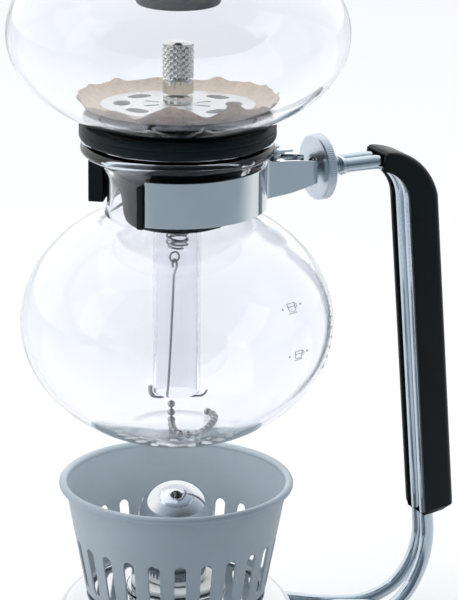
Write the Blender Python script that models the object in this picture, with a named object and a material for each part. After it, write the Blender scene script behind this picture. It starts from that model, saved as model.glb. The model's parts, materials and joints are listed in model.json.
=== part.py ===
"""Siphon coffee maker: two glass vessels over a spirit lamp, held by a wire stand.

Metres, +Z up. The origin is on the vessels' common axis at table level, under the
lamp. +X runs along the stand's arm towards the handle, and left means +Y.
"""
import math

import bmesh
import bpy
from mathutils import Matrix, Vector

# ---- driving dimensions ----
BOWL_R, BOWL_HALF_H, BOWL_Z = 0.058, 0.0355, 0.2273       # upper vessel's ellipsoid
BULB_R, BULB_HALF_H, BULB_Z = 0.0539, 0.0429, 0.1263      # lower vessel's ellipsoid
BOWL_WALL, BULB_WALL = 0.0011, 0.0016
BULB_FOOT_Z, BULB_FOOT_R = 0.0860, 0.019                  # flat underside of the bulb
BULB_RIM_Z, BULB_RIM_R = 0.1906, 0.0331
NECK_R = 0.0239                                           # outside of the bulb's neck
STEM_R, STEM_BORE_R, STEM_FOOT_Z = 0.0082, 0.0068, 0.1001
MOUTH_R, MOUTH_Z = 0.0374, 0.2800                         # upper vessel's collar
LID_TOP_Z, LID_R = 0.2980, 0.0428
SOCKET_R, SOCKET_BORE_R, SOCKET_FOOT_Z = 0.0147, 0.0127, 0.2373
GASKET_R, GASKET_Z = 0.0335, 0.1910                       # underside of the stopper's flange
PLUG_FOOT_R, PLUG_FOOT_Z = 0.0177, 0.1610
PLATE_R, PAPER_RIM_R = 0.0263, 0.0343
ARM_Z = 0.1746                                            # height of the stud and the rods
BAND_R, BAND_T = 0.0305, 0.0014
BAND_Z = (0.1672, 0.1828)
JAW_END, JAW_ROOT = 137, 17                               # azimuths of each jaw's free end and root, degrees
PIVOT_X = 0.0365                                          # jaws' common pivot
TONGUE_END_X, TONGUE_Y = 0.0510, 0.0055
NUT_X, NUT_R, NUT_T = 0.0523, 0.0115, 0.0038
STUD_R = 0.0032
ROD_R, ROD_Y = 0.0025, 0.0029                             # twin rods, half their spacing
ROD_START_X, BEND_X, BEND_R = 0.0629, 0.0740, 0.0160
LEAN = math.radians(4.8)                                  # the rods lean out going down
BASE_Z, LEG_Y, LEG_END_X = 0.0043, 0.0472, -0.0440        # rods along the table
TANK_R, TANK_TOP_Z, SHOULDER_R = 0.0420, 0.0273, 0.0120
SHIELD_Z, SHIELD_FOOT_R, SHIELD_TOP_R, SHIELD_TOP_Z = 0.0277, 0.0316, 0.0392, 0.0668
SHIELD_SLOTS, SLOT_PHASE = 24, math.radians(6.6)
CAP_R, CAP_Z, CAP_SKIRT_R, CAP_FOOT_Z = 0.0133, 0.0534, 0.0107, 0.0314
FILTER_Z, FILTER_TIP = 0.2013, math.radians(4)            # the filter pack sits slightly tipped
TIP_AXIS = Vector((math.cos(math.radians(153)), math.sin(math.radians(153)), 0))
FILTER_FRAME = (Matrix.Translation((0, 0, FILTER_Z)) @ Matrix.Rotation(FILTER_TIP, 4, TIP_AXIS)
                @ Matrix.Translation((0, 0, -FILTER_Z)))
GAP = 0.0004                                              # clearance between touching pieces
SEGMENTS = 28

PALETTE = {  # colour, roughness, metallic, alpha
    "glass": ((0.90, 0.95, 0.96), 0.02, 0.0, 0.35),
    "black_plastic": ((0.03, 0.03, 0.035), 0.35, 0.0, 1.0),
    "black_rubber": ((0.02, 0.025, 0.025), 0.55, 0.0, 1.0),
    "chrome": ((0.78, 0.80, 0.82), 0.08, 1.0, 1.0),
    "satin_steel": ((0.60, 0.64, 0.70), 0.30, 1.0, 1.0),
    "satin_aluminium": ((0.56, 0.64, 0.70), 0.38, 1.0, 1.0),
    "paper": ((0.78, 0.66, 0.54), 0.95, 0.0, 1.0),
    "white_plastic": ((0.93, 0.93, 0.92), 0.30, 0.0, 1.0),
    "ceramic": ((0.90, 0.89, 0.86), 0.25, 0.0, 1.0),
    "cotton": ((0.88, 0.86, 0.80), 0.95, 0.0, 1.0),
}


def clear_scene():
    """Remove whatever the file already holds."""
    for old in list(bpy.data.objects):
        bpy.data.objects.remove(old, do_unlink=True)


def material(name):
    """The named finish, made once."""
    if name in bpy.data.materials:
        return bpy.data.materials[name]
    color, roughness, metallic, alpha = PALETTE[name]
    finish = bpy.data.materials.new(name)
    finish.use_nodes = True
    shader = finish.node_tree.nodes["Principled BSDF"]
    shader.inputs["Base Color"].default_value = (*color, 1.0)
    shader.inputs["Roughness"].default_value = roughness
    shader.inputs["Metallic"].default_value = metallic
    shader.inputs["Alpha"].default_value = alpha
    return finish


def add_piece(name, bm, finish, carrier=None):
    """Turn a bmesh modelled in place into a named object, carried by an empty."""
    bmesh.ops.remove_doubles(bm, verts=bm.verts, dist=1e-7)
    bmesh.ops.recalc_face_normals(bm, faces=bm.faces)
    mesh = bpy.data.meshes.new(name)
    bm.to_mesh(mesh)
    bm.free()
    mesh.shade_smooth()
    mesh.set_sharp_from_angle(angle=math.radians(35))
    mesh.materials.append(material(finish))
    piece = bpy.data.objects.new(name, mesh)
    bpy.context.collection.objects.link(piece)
    if carrier:
        piece.parent = carrier
        piece.matrix_parent_inverse = Matrix.Translation(-carrier_place(carrier))
    return piece


def add_carrier(name, place, parent=None):
    """An empty on a joint's axis, which carries the pieces that move together."""
    carrier = bpy.data.objects.new(name, None)
    carrier.empty_display_size = 0.01
    bpy.context.collection.objects.link(carrier)
    carrier.parent = parent
    carrier.location = Vector(place) - (carrier_place(parent) if parent else Vector())
    return carrier


def carrier_place(carrier):
    """World position of an unrotated chain of empties."""
    place = Vector()
    while carrier:
        place += carrier.location
        carrier = carrier.parent
    return place


def cut(piece, bm):
    """Cut a closed tool shape out of a piece."""
    tool = add_piece(piece.name + "_cutter", bm, "chrome")
    tool.hide_render = True
    tool.display_type = "WIRE"
    combine(piece, tool, "DIFFERENCE")


def join(piece, bm):
    """Weld a closed shape onto a piece."""
    tool = add_piece(piece.name + "_weld%d" % len(piece.modifiers), bm, "chrome")
    tool.hide_render = True
    tool.display_type = "WIRE"
    combine(piece, tool, "UNION")


def combine(piece, tool, operation):
    """Apply one solid operation between a piece and a tool."""
    step = piece.modifiers.new(operation.lower(), "BOOLEAN")
    step.operation = operation
    step.solver = "EXACT"
    step.object = tool


def arc(centre, radius, start, end, count):
    """Points along a circular arc in a plane, angles in degrees."""
    points = []
    for i in range(count + 1):
        angle = math.radians(start + (end - start) * i / count)
        points.append((centre[0] + radius * math.cos(angle), centre[1] + radius * math.sin(angle)))
    return points


def ellipse(radius, half_height, z_mid, start, end, count):
    """Profile points along an ellipsoid's section, by way of its equator, angles in degrees."""
    angles = [start * (1 - i / count) for i in range(count)] + [end * i / count for i in range(count + 1)]
    return [(radius * math.cos(math.radians(a)), z_mid + half_height * math.sin(math.radians(a))) for a in angles]


def turn_into(bm, profile, segments=SEGMENTS, frame=Matrix()):
    """Turn a closed (radius, height) profile about the frame's Z axis."""
    rings = []
    for radius, z in profile:
        count = 1 if radius < 1e-6 else segments
        ring = []
        for i in range(count):
            angle = 2 * math.pi * i / segments
            ring.append(bm.verts.new(frame @ Vector((radius * math.cos(angle), radius * math.sin(angle), z))))
        rings.append(ring)
    for lower, upper in zip(rings, rings[1:] + rings[:1]):
        if len(lower) == 1 and len(upper) == 1:
            continue
        for i in range(segments):
            j = i + 1
            quad = [lower[i % len(lower)], lower[j % len(lower)], upper[j % len(upper)], upper[i % len(upper)]]
            bm.faces.new(list(dict.fromkeys(quad)))
    return bm


def turned(name, profile, finish, carrier=None, segments=SEGMENTS, frame=Matrix()):
    """A named piece turned from a profile."""
    return add_piece(name, turn_into(bmesh.new(), profile, segments, frame), finish, carrier)


def prism_into(bm, outline, low, high, frame=Matrix()):
    """Extrude a plane outline between two heights of a frame."""
    bottom = [bm.verts.new(frame @ Vector((x, y, low))) for x, y in outline]
    top = [bm.verts.new(frame @ Vector((x, y, high))) for x, y in outline]
    bm.faces.new(bottom[::-1])
    bm.faces.new(top)
    for i in range(len(outline)):
        j = (i + 1) % len(outline)
        bm.faces.new((bottom[i], bottom[j], top[j], top[i]))
    return bm


def smooth_route(points, per_span):
    """A smooth curve through hand-placed points."""
    route = [Vector(p) for p in points]
    padded = [2 * route[0] - route[1]] + route + [2 * route[-1] - route[-2]]
    dense = []
    for i in range(1, len(padded) - 2):
        a, b, c, d = padded[i - 1:i + 3]
        for k in range(per_span):
            t = k / per_span
            dense.append(0.5 * (2 * b + (c - a) * t + (2 * a - 5 * b + 4 * c - d) * t * t
                                + (3 * b - a - 3 * c + d) * t ** 3))
    dense.append(route[-1])
    return dense


def sweep_into(bm, route, sections, closed=False):
    """Sweep plane sections along a route; each section's points are (across, up) pairs."""
    route = [Vector(p) for p in route]
    count = len(route)
    side = None
    rings = []
    for i, point in enumerate(route):
        before = route[i - 1] if closed or i else point
        after = route[(i + 1) % count] if closed or i < count - 1 else point
        ahead = (after - before).normalized()
        if side is None:
            side = ahead.orthogonal().normalized()
        side = (side - side.dot(ahead) * ahead).normalized()
        up = ahead.cross(side)
        rings.append([bm.verts.new(point + a * side + b * up) for a, b in sections[i]])
    pairs = list(zip(rings, rings[1:]))
    if closed:
        pairs.append((rings[-1], rings[0]))
    for near, far in pairs:
        for i in range(len(near)):
            j = (i + 1) % len(near)
            bm.faces.new((near[i], near[j], far[j], far[i]))
    if not closed:
        bm.faces.new(rings[0][::-1])
        bm.faces.new(rings[-1])
    return bm


def wire_into(bm, route, radius, sides, closed=False):
    """Sweep a round section, whose radius may change along the route."""
    radii = radius if isinstance(radius, list) else [radius] * len(route)
    sections = [arc((0, 0), r, 0, 360 * (sides - 1) / sides, sides - 1) for r in radii]
    return sweep_into(bm, route, sections, closed)


def hole_ring(count, at_radius, hole_radius, low, high, frame):
    """Round cutters spaced evenly about a frame's Z axis."""
    bm = bmesh.new()
    for i in range(count):
        turn = frame @ Matrix.Rotation(2 * math.pi * i / count, 4, "Z") @ Matrix.Translation((at_radius, 0, 0))
        prism_into(bm, arc((0, 0), hole_radius, 0, 315, 7), low, high, turn)
    return bm


# ---- carriers: one empty on each joint's axis ----
def make_carriers():
    """The tree of moving groups; everything else stands on the stand."""
    stand = add_carrier("stand_group", (0, 0, 0))
    lamp = add_carrier("lamp_group", (0, 0, 0), stand)
    burner = add_carrier("burner_group", (0, 0, TANK_TOP_Z), lamp)
    bowl = add_carrier("bowl_group", (0, 0, GASKET_Z), stand)
    return {
        "stand": stand,
        "lamp": lamp,
        "burner": burner,
        "bowl": bowl,
        "wick": add_carrier("wick_group", (0, 0, 0.0535), burner),
        "cap": add_carrier("cap_group", (0, 0, CAP_FOOT_Z), burner),
        "shield": add_carrier("shield_group", (0, 0, SHIELD_Z), lamp),
        "lid": add_carrier("lid_group", (0, 0, MOUTH_Z), bowl),
        "filter_nut": add_carrier("filter_nut_group", FILTER_FRAME @ Vector((0, 0, 0.2055)), bowl),
        "jaw_left": add_carrier("jaw_left_group", (PIVOT_X, 0, ARM_Z), stand),
        "jaw_right": add_carrier("jaw_right_group", (PIVOT_X, 0, ARM_Z), stand),
        "nut": add_carrier("nut_group", (NUT_X, 0, ARM_Z), stand),
    }


# ---- glass ----
def make_lower_bulb(carrier):
    """Squashed globe with a flat foot, a waisted neck and a thick rolled rim."""
    outer = [(0, BULB_FOOT_Z), (BULB_FOOT_R, BULB_FOOT_Z)]
    outer += ellipse(BULB_R, BULB_HALF_H, BULB_Z, -62, 63, 4)
    outer += [(0.0240, 0.1685), (NECK_R, 0.1740), (0.0247, 0.1806), (0.0315, 0.1852)]
    rim = [(BULB_RIM_R, 0.1866), (BULB_RIM_R, 0.1892), (0.0316, BULB_RIM_Z), (0.0290, BULB_RIM_Z)]
    inner = [(0.0262, 0.1895), (0.0232, 0.1842), (0.0223, 0.1790), (0.0222, 0.1735), (0.0224, 0.1680)]
    inner += ellipse(BULB_R - BULB_WALL, BULB_HALF_H - BULB_WALL, BULB_Z, 64.2, -62, 4)
    inner += [(BULB_FOOT_R, BULB_FOOT_Z + BULB_WALL), (0, BULB_FOOT_Z + BULB_WALL)]
    turned("lower_bulb", outer + rim + inner, "glass", carrier)


def make_upper_bowl(carrier):
    """Squashed globe drawn out below into the stem and open above in a collar."""
    stem = [(STEM_BORE_R, STEM_FOOT_Z), (STEM_R, STEM_FOOT_Z), (STEM_R, 0.1903), (0.0086, 0.1916)]
    globe = ellipse(BOWL_R, BOWL_HALF_H, BOWL_Z, -77, 49, 4)
    collar = [(0.0375, 0.2565), (MOUTH_R, 0.2770), (0.0386, 0.2785), (0.0386, MOUTH_Z),
              (0.0364, 0.2806), (0.0356, 0.2795), (0.0357, 0.2560)]
    inside = ellipse(BOWL_R - BOWL_WALL, BOWL_HALF_H - BOWL_WALL, BOWL_Z, 49.5, -78, 6)
    throat = [(0.0084, 0.1932), (0.0070, 0.1920), (STEM_BORE_R, 0.1900)]
    turned("upper_bowl", stem + globe + collar + inside + throat, "glass", carrier)


# ---- lid, stopper and filter ----
def make_lid(carrier):
    """Drum cap with a skirt and a long central socket, which holds the stem when upturned."""
    crown = [(0, LID_TOP_Z), (0.0330, LID_TOP_Z), (0.0358, 0.2966), (0.0368, 0.2945), (0.0402, 0.2855)]
    skirt = [(0.0422, 0.2840), (LID_R, 0.2820), (LID_R, 0.2725), (0.0420, 0.2720), (0.0402, 0.2720),
             (0.0394, 0.2728), (0.0394, 0.2811), (0.0340, 0.2811), (0.0340, 0.2940)]
    socket = [(SOCKET_R, 0.2940), (SOCKET_R, 0.2395), (0.0139, SOCKET_FOOT_Z), (0.0130, SOCKET_FOOT_Z),
              (SOCKET_BORE_R, 0.2380), (SOCKET_BORE_R, 0.2950), (0, 0.2950)]
    turned("lid", crown + skirt + socket, "black_plastic", carrier)


def bowl_underside(radius):
    """Height of the upper vessel's outer skin at a radius."""
    return BOWL_Z - BOWL_HALF_H * math.sqrt(1 - (radius / BOWL_R) ** 2)


def make_gasket(carrier):
    """Stopper: a flange cupped to the bowl over a tapered plug."""
    cup = [(r, bowl_underside(r) - 0.0006) for r in (0.0115, 0.0180, 0.0240, 0.0300)]
    flange = [(0.0325, 0.1962), (GASKET_R, 0.1950), (GASKET_R, 0.1918), (0.0328, GASKET_Z)]
    plug = [(0.0218, GASKET_Z), (0.0214, 0.1845), (PLUG_FOOT_R, 0.1617), (0.0170, PLUG_FOOT_Z)]
    bore = [(STEM_R + GAP, PLUG_FOOT_Z), (STEM_R + GAP, 0.1892), (0.0096, 0.1906)]
    turned("gasket", cup + flange + plug + bore, "black_rubber", carrier)


def make_filter(bowl, nut_carrier):
    """Filter pack: base plate, paper, slotted plate, collar and nut on one rod."""
    bore = 0.0022
    base = [(bore, 0.1935), (0.0055, 0.1935), (0.0055, 0.1978), (0.0180, 0.1978), (0.0180, 0.1994), (bore, 0.1994)]
    plate = turned("filter_base_plate", base, "chrome", bowl, 24, FILTER_FRAME)
    cut(plate, hole_ring(8, 0.0120, 0.0026, 0.1970, 0.2000, FILTER_FRAME))
    paper = [(bore, 0.1997), (0.0275, 0.1997), (0.0315, 0.2018), (PAPER_RIM_R, 0.2062),
             (0.0338, 0.2065), (0.0311, 0.2023), (0.0273, 0.2002), (bore, 0.2002)]
    turned("paper_filter", paper, "paper", bowl, 28, FILTER_FRAME)
    slotted = [(bore, 0.2005), (PLATE_R, 0.2005), (PLATE_R, 0.2021), (bore, 0.2021)]
    plate = turned("filter_top_plate", slotted, "white_plastic", bowl, 24, FILTER_FRAME)
    cut(plate, plate_slots(0.2000, 0.2026))
    collar = [(bore, 0.2024), (0.0050, 0.2024), (0.0050, 0.2048), (0.0046, 0.2052), (bore, 0.2052)]
    turned("filter_collar", collar, "chrome", bowl, 16, FILTER_FRAME)
    nut = [(bore, 0.2055), (0.0040, 0.2055), (0.0040, 0.2234), (0.0035, 0.2240), (0, 0.2240),
           (0, 0.2180), (bore, 0.2180)]
    turned("filter_nut", nut, "chrome", nut_carrier, 16, FILTER_FRAME)
    rod = [(0, 0.1720), (0.0018, 0.1720), (0.0018, 0.2160), (0, 0.2160)]
    turned("filter_rod", rod, "chrome", bowl, 12, FILTER_FRAME)


def plate_slots(low, high):
    """Eight oval openings near the rim and short radial slots inside them."""
    bm = bmesh.new()
    for i in range(8):
        spoke = FILTER_FRAME @ Matrix.Rotation(math.radians(18 + 45 * i), 4, "Z") @ Matrix.Translation((0.0190, 0, 0))
        outline = [(0.0030 * math.cos(a), 0.0046 * math.sin(a)) for a in (math.pi * k / 4 for k in range(8))]
        prism_into(bm, outline, low, high, spoke)
        spoke = FILTER_FRAME @ Matrix.Rotation(math.radians(40.5 + 45 * i), 4, "Z")
        prism_into(bm, [(0.0070, -0.0008), (0.0118, -0.0011), (0.0118, 0.0011), (0.0070, 0.0008)], low, high, spoke)
    return bm


# ---- spring, link, wire and chain inside the stem ----
HOOK_SIDE = Vector((math.cos(math.radians(153)), math.sin(math.radians(153)), 0))


def make_spring(carrier):
    """Tension spring hanging from the rod."""
    top, bottom, turns, steps = 0.1705, 0.1520, 9, 7
    coil_r, wire_r = 0.0036, 0.00042
    route = []
    for i in range(turns * steps + 1):
        angle = 2 * math.pi * i / steps
        z = top + (bottom - top) * i / (turns * steps)
        route.append((coil_r * math.cos(angle), coil_r * math.sin(angle), z))
    add_piece("filter_spring", wire_into(bmesh.new(), route, wire_r, 4), "chrome", carrier)


def make_pull(carrier):
    """Link ring under the spring, the pull wire with its eye and hook, and the bead chain."""
    link_z, eye_z, loop_r = 0.1490, 0.1464, 0.0017
    middle = HOOK_SIDE * 0.0009
    ring = [middle + Vector((loop_r * math.cos(a), 0, link_z + loop_r * math.sin(a)))
            for a in (2 * math.pi * i / 12 for i in range(12))]
    add_piece("spring_link", wire_into(bmesh.new(), ring, 0.00035, 5, closed=True), "chrome", carrier)
    eye = [middle + Vector((0, loop_r * math.sin(a), eye_z - loop_r * math.cos(a)))
           for a in (math.radians(40 + 25 * i) for i in range(12))]
    tail = [HOOK_SIDE * r + Vector((0, 0, z)) for r, z in
            ((0.0011, 0.1425), (0.0020, 0.1200), (0.0030, 0.1010), (0.0038, 0.0985), (0.0055, 0.0976),
             (0.0078, 0.0980), (0.0090, 0.0996), (0.0091, 0.1020))]
    add_piece("pull_wire", wire_into(bmesh.new(), eye + smooth_route(tail, 2), 0.00042, 5), "chrome", carrier)
    make_bead_chain(carrier)


def make_bead_chain(carrier):
    """Beads on a thin link wire: hanging from the hook, then lying on the bulb's floor."""
    bead_r, link_r, pitch = 0.00122, 0.00045, 0.0031
    places = [(-1.6, 1.0, 96.6), (-1.6, 0.8, 93.2), (-2.9, -2.0, 90.0), (-5.1, -7.5, 89.3), (-5.6, -12.8, 89.3),
              (-3.2, -15.8, 89.3), (0.3, -16.2, 89.3), (4.6, -13.8, 89.3), (9.6, -8.8, 89.3),
              (13.0, -3.8, 89.3), (13.6, 1.2, 89.3), (11.6, 4.8, 89.3)]
    dense = smooth_route([Vector(p) / 1000 for p in places], 24)
    travelled = [0.0]
    for a, b in zip(dense, dense[1:]):
        travelled.append(travelled[-1] + (b - a).length)
    beads = int(travelled[-1] / pitch)
    offsets = (-0.93, -0.45, 0.45, 0.93)
    route, radii = [], []
    for bead in range(beads):
        for offset in offsets:
            route.append(point_at(dense, travelled, (bead + 0.5) * pitch + offset * bead_r))
            radii.append(max(link_r, bead_r * math.sqrt(max(0.0, 1 - offset ** 2))))
    add_piece("bead_chain", wire_into(bmesh.new(), route, radii, 5), "chrome", carrier)


def point_at(dense, travelled, distance):
    """The point that far along a dense route."""
    for i in range(len(dense) - 1):
        if travelled[i + 1] >= distance:
            part = (distance - travelled[i]) / (travelled[i + 1] - travelled[i])
            return dense[i].lerp(dense[i + 1], part)
    return dense[-1]


# ---- clamp ----
def ribbon_into(bm, stations):
    """An upright strip: stations are (inner plan point, outer plan point, low, high)."""
    rings = []
    for inner, outer, low, high in stations:
        corners = ((inner, low), (outer, low), (outer, high), (inner, high))
        rings.append([bm.verts.new((x, y, z)) for (x, y), z in corners])
    for a, b in zip(rings, rings[1:]):
        for i in range(4):
            j = (i + 1) % 4
            bm.faces.new((a[i], a[j], b[j], b[i]))
    bm.faces.new(rings[0])
    bm.faces.new(rings[-1])
    return bm


def polar(radius, azimuth, side):
    """A plan point on a circle about the vessels' axis, on the left (+1) or the right (-1)."""
    angle = math.radians(azimuth)
    return (radius * math.cos(angle), side * radius * math.sin(angle))


def make_jaw(name, side, lugs, carrier):
    """Half-round jaw running into a tapered tongue, with two lugs round the pivot pin."""
    stations = []
    for i in range(13):
        azimuth = JAW_END + (JAW_ROOT - JAW_END) * i / 12
        stations.append((polar(BAND_R - BAND_T, azimuth, side), polar(BAND_R, azimuth, side), *BAND_Z))
    bend = ((0.0297, 0.0068, 45, *BAND_Z), (0.0312, 0.0059, 70, BAND_Z[0], 0.1815),
            (0.0336, TONGUE_Y, 88, 0.1674, 0.1800), (0.0400, 0.0054, 90, 0.1680, 0.1796),
            (TONGUE_END_X, 0.0051, 90, 0.1704, 0.1780))
    for x, y, facing, low, high in bend:
        dx, dy = polar(BAND_T / 2, facing, side)
        stations.append(((x - dx, side * y - dy), (x + dx, side * y + dy), low, high))
    jaw = add_piece(name, ribbon_into(bmesh.new(), stations), "chrome", carrier)
    lug_r = 0.0032
    for low, high in lugs:
        outline = [(PIVOT_X + x, side * y) for x, y in arc((0, 0), lug_r, -180, 0, 8)]
        outline += [(PIVOT_X + lug_r, side * 0.0052), (PIVOT_X - lug_r, side * 0.0052)]
        join(jaw, prism_into(bmesh.new(), outline, low, high))
    cut(jaw, prism_into(bmesh.new(), arc((PIVOT_X, 0), 0.0016, 0, 330, 11), 0.1600, 0.1900))


def make_jaw_pad(name, side, carrier):
    """Soft pad inside a jaw, wrapped over the jaw's free end."""
    inner_r, outer_r, end_inner_r, end_outer_r = 0.0252, 0.0288, 0.0260, 0.0313
    stations = []
    for azimuth in (JAW_END + 5, JAW_END + 0.7):
        stations.append((polar(end_inner_r, azimuth, side), polar(end_outer_r, azimuth, side), 0.1664, 0.1810))
    for i in range(13):
        azimuth = JAW_END + 0.3 + (24 - JAW_END) * i / 12
        stations.append((polar(inner_r, azimuth, side), polar(outer_r, azimuth, side), 0.1678, 0.1802))
    add_piece(name, ribbon_into(bmesh.new(), stations), "black_rubber", carrier)


def make_clamp_core(stand, nut_carrier):
    """Stud with an eye for the pivot pin, the pin, its small spring and the disc nut."""
    along_x = Matrix.Translation((0, 0, ARM_Z)) @ Matrix.Rotation(math.pi / 2, 4, "Y")
    thread = [(0, 0.0517), (STUD_R, 0.0517), (STUD_R, 0.0578)]
    for i in range(4):
        x = 0.0580 + 0.0009 * i
        thread += [(STUD_R + 0.0001, x), (0.0027, x + 0.00045)]
    thread += [(STUD_R, 0.0616), (0, 0.0616)]
    stud = turned("clamp_stud", thread, "chrome", stand, 16, along_x)
    bar = [(PIVOT_X, -0.0015), (0.0522, -0.0015), (0.0522, 0.0015), (PIVOT_X, 0.0015)]
    join(stud, prism_into(bmesh.new(), bar, ARM_Z - 0.0015, ARM_Z + 0.0015))
    eye = arc((PIVOT_X, 0), 0.0033, 0, 345, 23)
    join(stud, prism_into(bmesh.new(), eye, ARM_Z - 0.0015, ARM_Z + 0.0015))
    face = arc((0, ROD_Y), ROD_R + 0.0006, 0, 180, 8) + arc((0, -ROD_Y), ROD_R + 0.0006, 180, 360, 8)
    join(stud, prism_into(bmesh.new(), face, 0.0614, 0.0625, along_x))
    cut(stud, prism_into(bmesh.new(), arc((PIVOT_X, 0), 0.0016, 0, 330, 11), 0.1600, 0.1900))
    pin = [(0, 0.1688), (0.0020, 0.1690), (0.0022, 0.1696), (0.0012, 0.1696), (0.0012, 0.1832), (0.0022, 0.1834),
           (0.0022, 0.1840), (0.0012, 0.1847), (0, 0.1849)]
    pin_frame = Matrix.Translation((PIVOT_X, 0, 0))
    turned("clamp_pivot_pin", pin, "satin_steel", stand, 16, pin_frame)
    make_clamp_spring(stand)
    disc = [(0.0036, 0), (0.0106, 0), (NUT_R, 0.0006), (NUT_R, NUT_T - 0.0006), (0.0109, NUT_T),
            (0.0052, NUT_T), (0.0048, NUT_T + 0.0014), (0.0036, NUT_T + 0.0014)]
    nut_frame = along_x @ Matrix.Translation((0, 0, NUT_X))
    turned("disc_nut", disc, "satin_steel", nut_carrier, 24, nut_frame)


def make_clamp_spring(carrier):
    """Torsion spring round the pivot pin, with a leg towards each tongue."""
    steps, turns, coil_r, wire_r, foot_z = 8, 2, 0.0023, 0.0004, 0.1801
    route = [(0.0425, 0.0032, foot_z)]
    for i in range(turns * steps + 5):
        angle = math.radians(90) + 2 * math.pi * i / steps
        z = foot_z + 0.0009 * i / steps
        route.append((PIVOT_X + coil_r * math.cos(angle), coil_r * math.sin(angle), z))
    route.append((0.0425, -0.0032, route[-1][2]))
    add_piece("clamp_spring", wire_into(bmesh.new(), route, wire_r, 5), "satin_steel", carrier)


# ---- stand ----
def rod_spine(lowest):
    """Side view of the rods, (x, z): out along the arm, round the bend, down the handle."""
    spine = [(ROD_START_X, ARM_Z)] + arc((BEND_X, ARM_Z - BEND_R), BEND_R, 90, math.degrees(LEAN), 8)
    x, z = spine[-1]
    spine.append((x + (z - lowest) * math.tan(LEAN), lowest))
    return spine


def make_rod(name, side, carrier):
    """One of the twin rods, from the stud's flange round to its leg on the table."""
    route = [(x, side * ROD_Y, z) for x, z in rod_spine(0.0400)]
    sweep = [(99.95, 2.9, 40.0), (100.4, 2.95, 30.5), (98.2, 3.4, 20.8), (93.0, 4.4, 12.4), (85.7, 6.2, 7.2),
             (77.0, 9.2, 4.7), (66.0, 15.2, 4.3), (54.0, 25.4, 4.3), (42.0, 36.2, 4.3), (29.0, 43.6, 4.3),
             (14.0, 46.8, 4.3), (0.0, 47.2, 4.3)]
    foot = smooth_route([Vector((x, side * y, z)) / 1000 for x, y, z in sweep], 2)
    route += foot[1:] + [(LEG_END_X, side * LEG_Y, BASE_Z)]
    add_piece(name, wire_into(bmesh.new(), route, ROD_R, 8), "chrome", carrier)


def make_grip(carrier):
    """Channel that hugs the rods from outside, open towards the vessels."""
    spine = arc((BEND_X, ARM_Z - BEND_R), BEND_R, 80, math.degrees(LEAN), 8)
    x, z = spine[-1]
    for depth in (0.030, 0.060, 0.090, 0.117, 0.1195):
        spine.append((x + depth * math.tan(LEAN), z - depth))
    wall, lip, floor = 0.0075, -0.0026, ROD_R + GAP
    cavity = ROD_Y + ROD_R + GAP
    bm = bmesh.new()
    rings = []
    for i, (px, pz) in enumerate(spine):
        before, after = Vector(spine[max(i - 1, 0)]), Vector(spine[min(i + 1, len(spine) - 1)])
        ahead = (after - before).normalized()
        out = Vector((-ahead.y, ahead.x))
        crown = min(0.0040 + 0.0057 * i / 8, 0.0097)
        if i == len(spine) - 1:
            crown -= 0.0022
        corner = crown - 0.0022
        section = [(lip, -wall), (corner, -wall), (crown - 0.0006, -wall + 0.0012), (crown, -0.0040), (crown, 0.0040),
                   (crown - 0.0006, wall - 0.0012), (corner, wall), (lip, wall), (lip, cavity),
                   (floor, cavity), (floor, -cavity), (lip, -cavity)]
        rings.append([bm.verts.new((px + out.x * n, y, pz + out.y * n)) for n, y in section])
    for a, b in zip(rings, rings[1:]):
        for i in range(len(a)):
            j = (i + 1) % len(a)
            bm.faces.new((a[i], a[j], b[j], b[i]))
    bm.faces.new(rings[0])
    bm.faces.new(rings[-1])
    add_piece("grip", bm, "black_plastic", carrier)


def make_base_bridge(carrier):
    """Flat plate between the rods, hollowed at its end to locate the lamp."""
    low, high = 0.0050, 0.0066
    side = [(0.0830, 0.0037), (0.0770, 0.0059), (0.0700, 0.0095), (0.0440, 0.0098)]
    outline = side + arc((0, 0), 0.0432, 12, -12, 6) + [(x, -y) for x, y in reversed(side)]
    add_piece("base_bridge", prism_into(bmesh.new(), outline, low, high), "chrome", carrier)


def make_foot(name, place, heading, length, blind, carrier):
    """Rubber foot: a block with a round top, sleeved over a rod and flat underneath."""
    half = 0.0046
    section = [(-half, -BASE_Z), (half, -BASE_Z)] + arc((0, 0), half, 0, 180, 8)
    frame = Matrix.Translation(place) @ Matrix.Rotation(heading, 4, "Z") @ Matrix.Rotation(math.pi / 2, 4, "Y")
    frame = frame @ Matrix.Rotation(math.pi / 2, 4, "Z")
    foot = add_piece(name, prism_into(bmesh.new(), section, -length / 2, length / 2, frame), "black_rubber", carrier)
    bore_start = -length / 2 + (0.0025 if blind else -0.001)
    cut(foot, prism_into(bmesh.new(), arc((0, 0), ROD_R + 0.0005, 0, 330, 11), bore_start, length, frame))


def make_feet(carrier):
    """Two blind boots on the legs' ends and two sleeves where the rods spread."""
    for word, side in (("left", 1), ("right", -1)):
        make_foot("front_foot_" + word, (LEG_END_X + 0.0038, side * LEG_Y, BASE_Z), 0, 0.0130, True, carrier)
        spread = math.atan2(side * (36.2 - 25.4), 42.0 - 54.0)
        make_foot("rear_foot_" + word, (0.0480, side * 0.0308, BASE_Z), spread, 0.0080, False, carrier)


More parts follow.
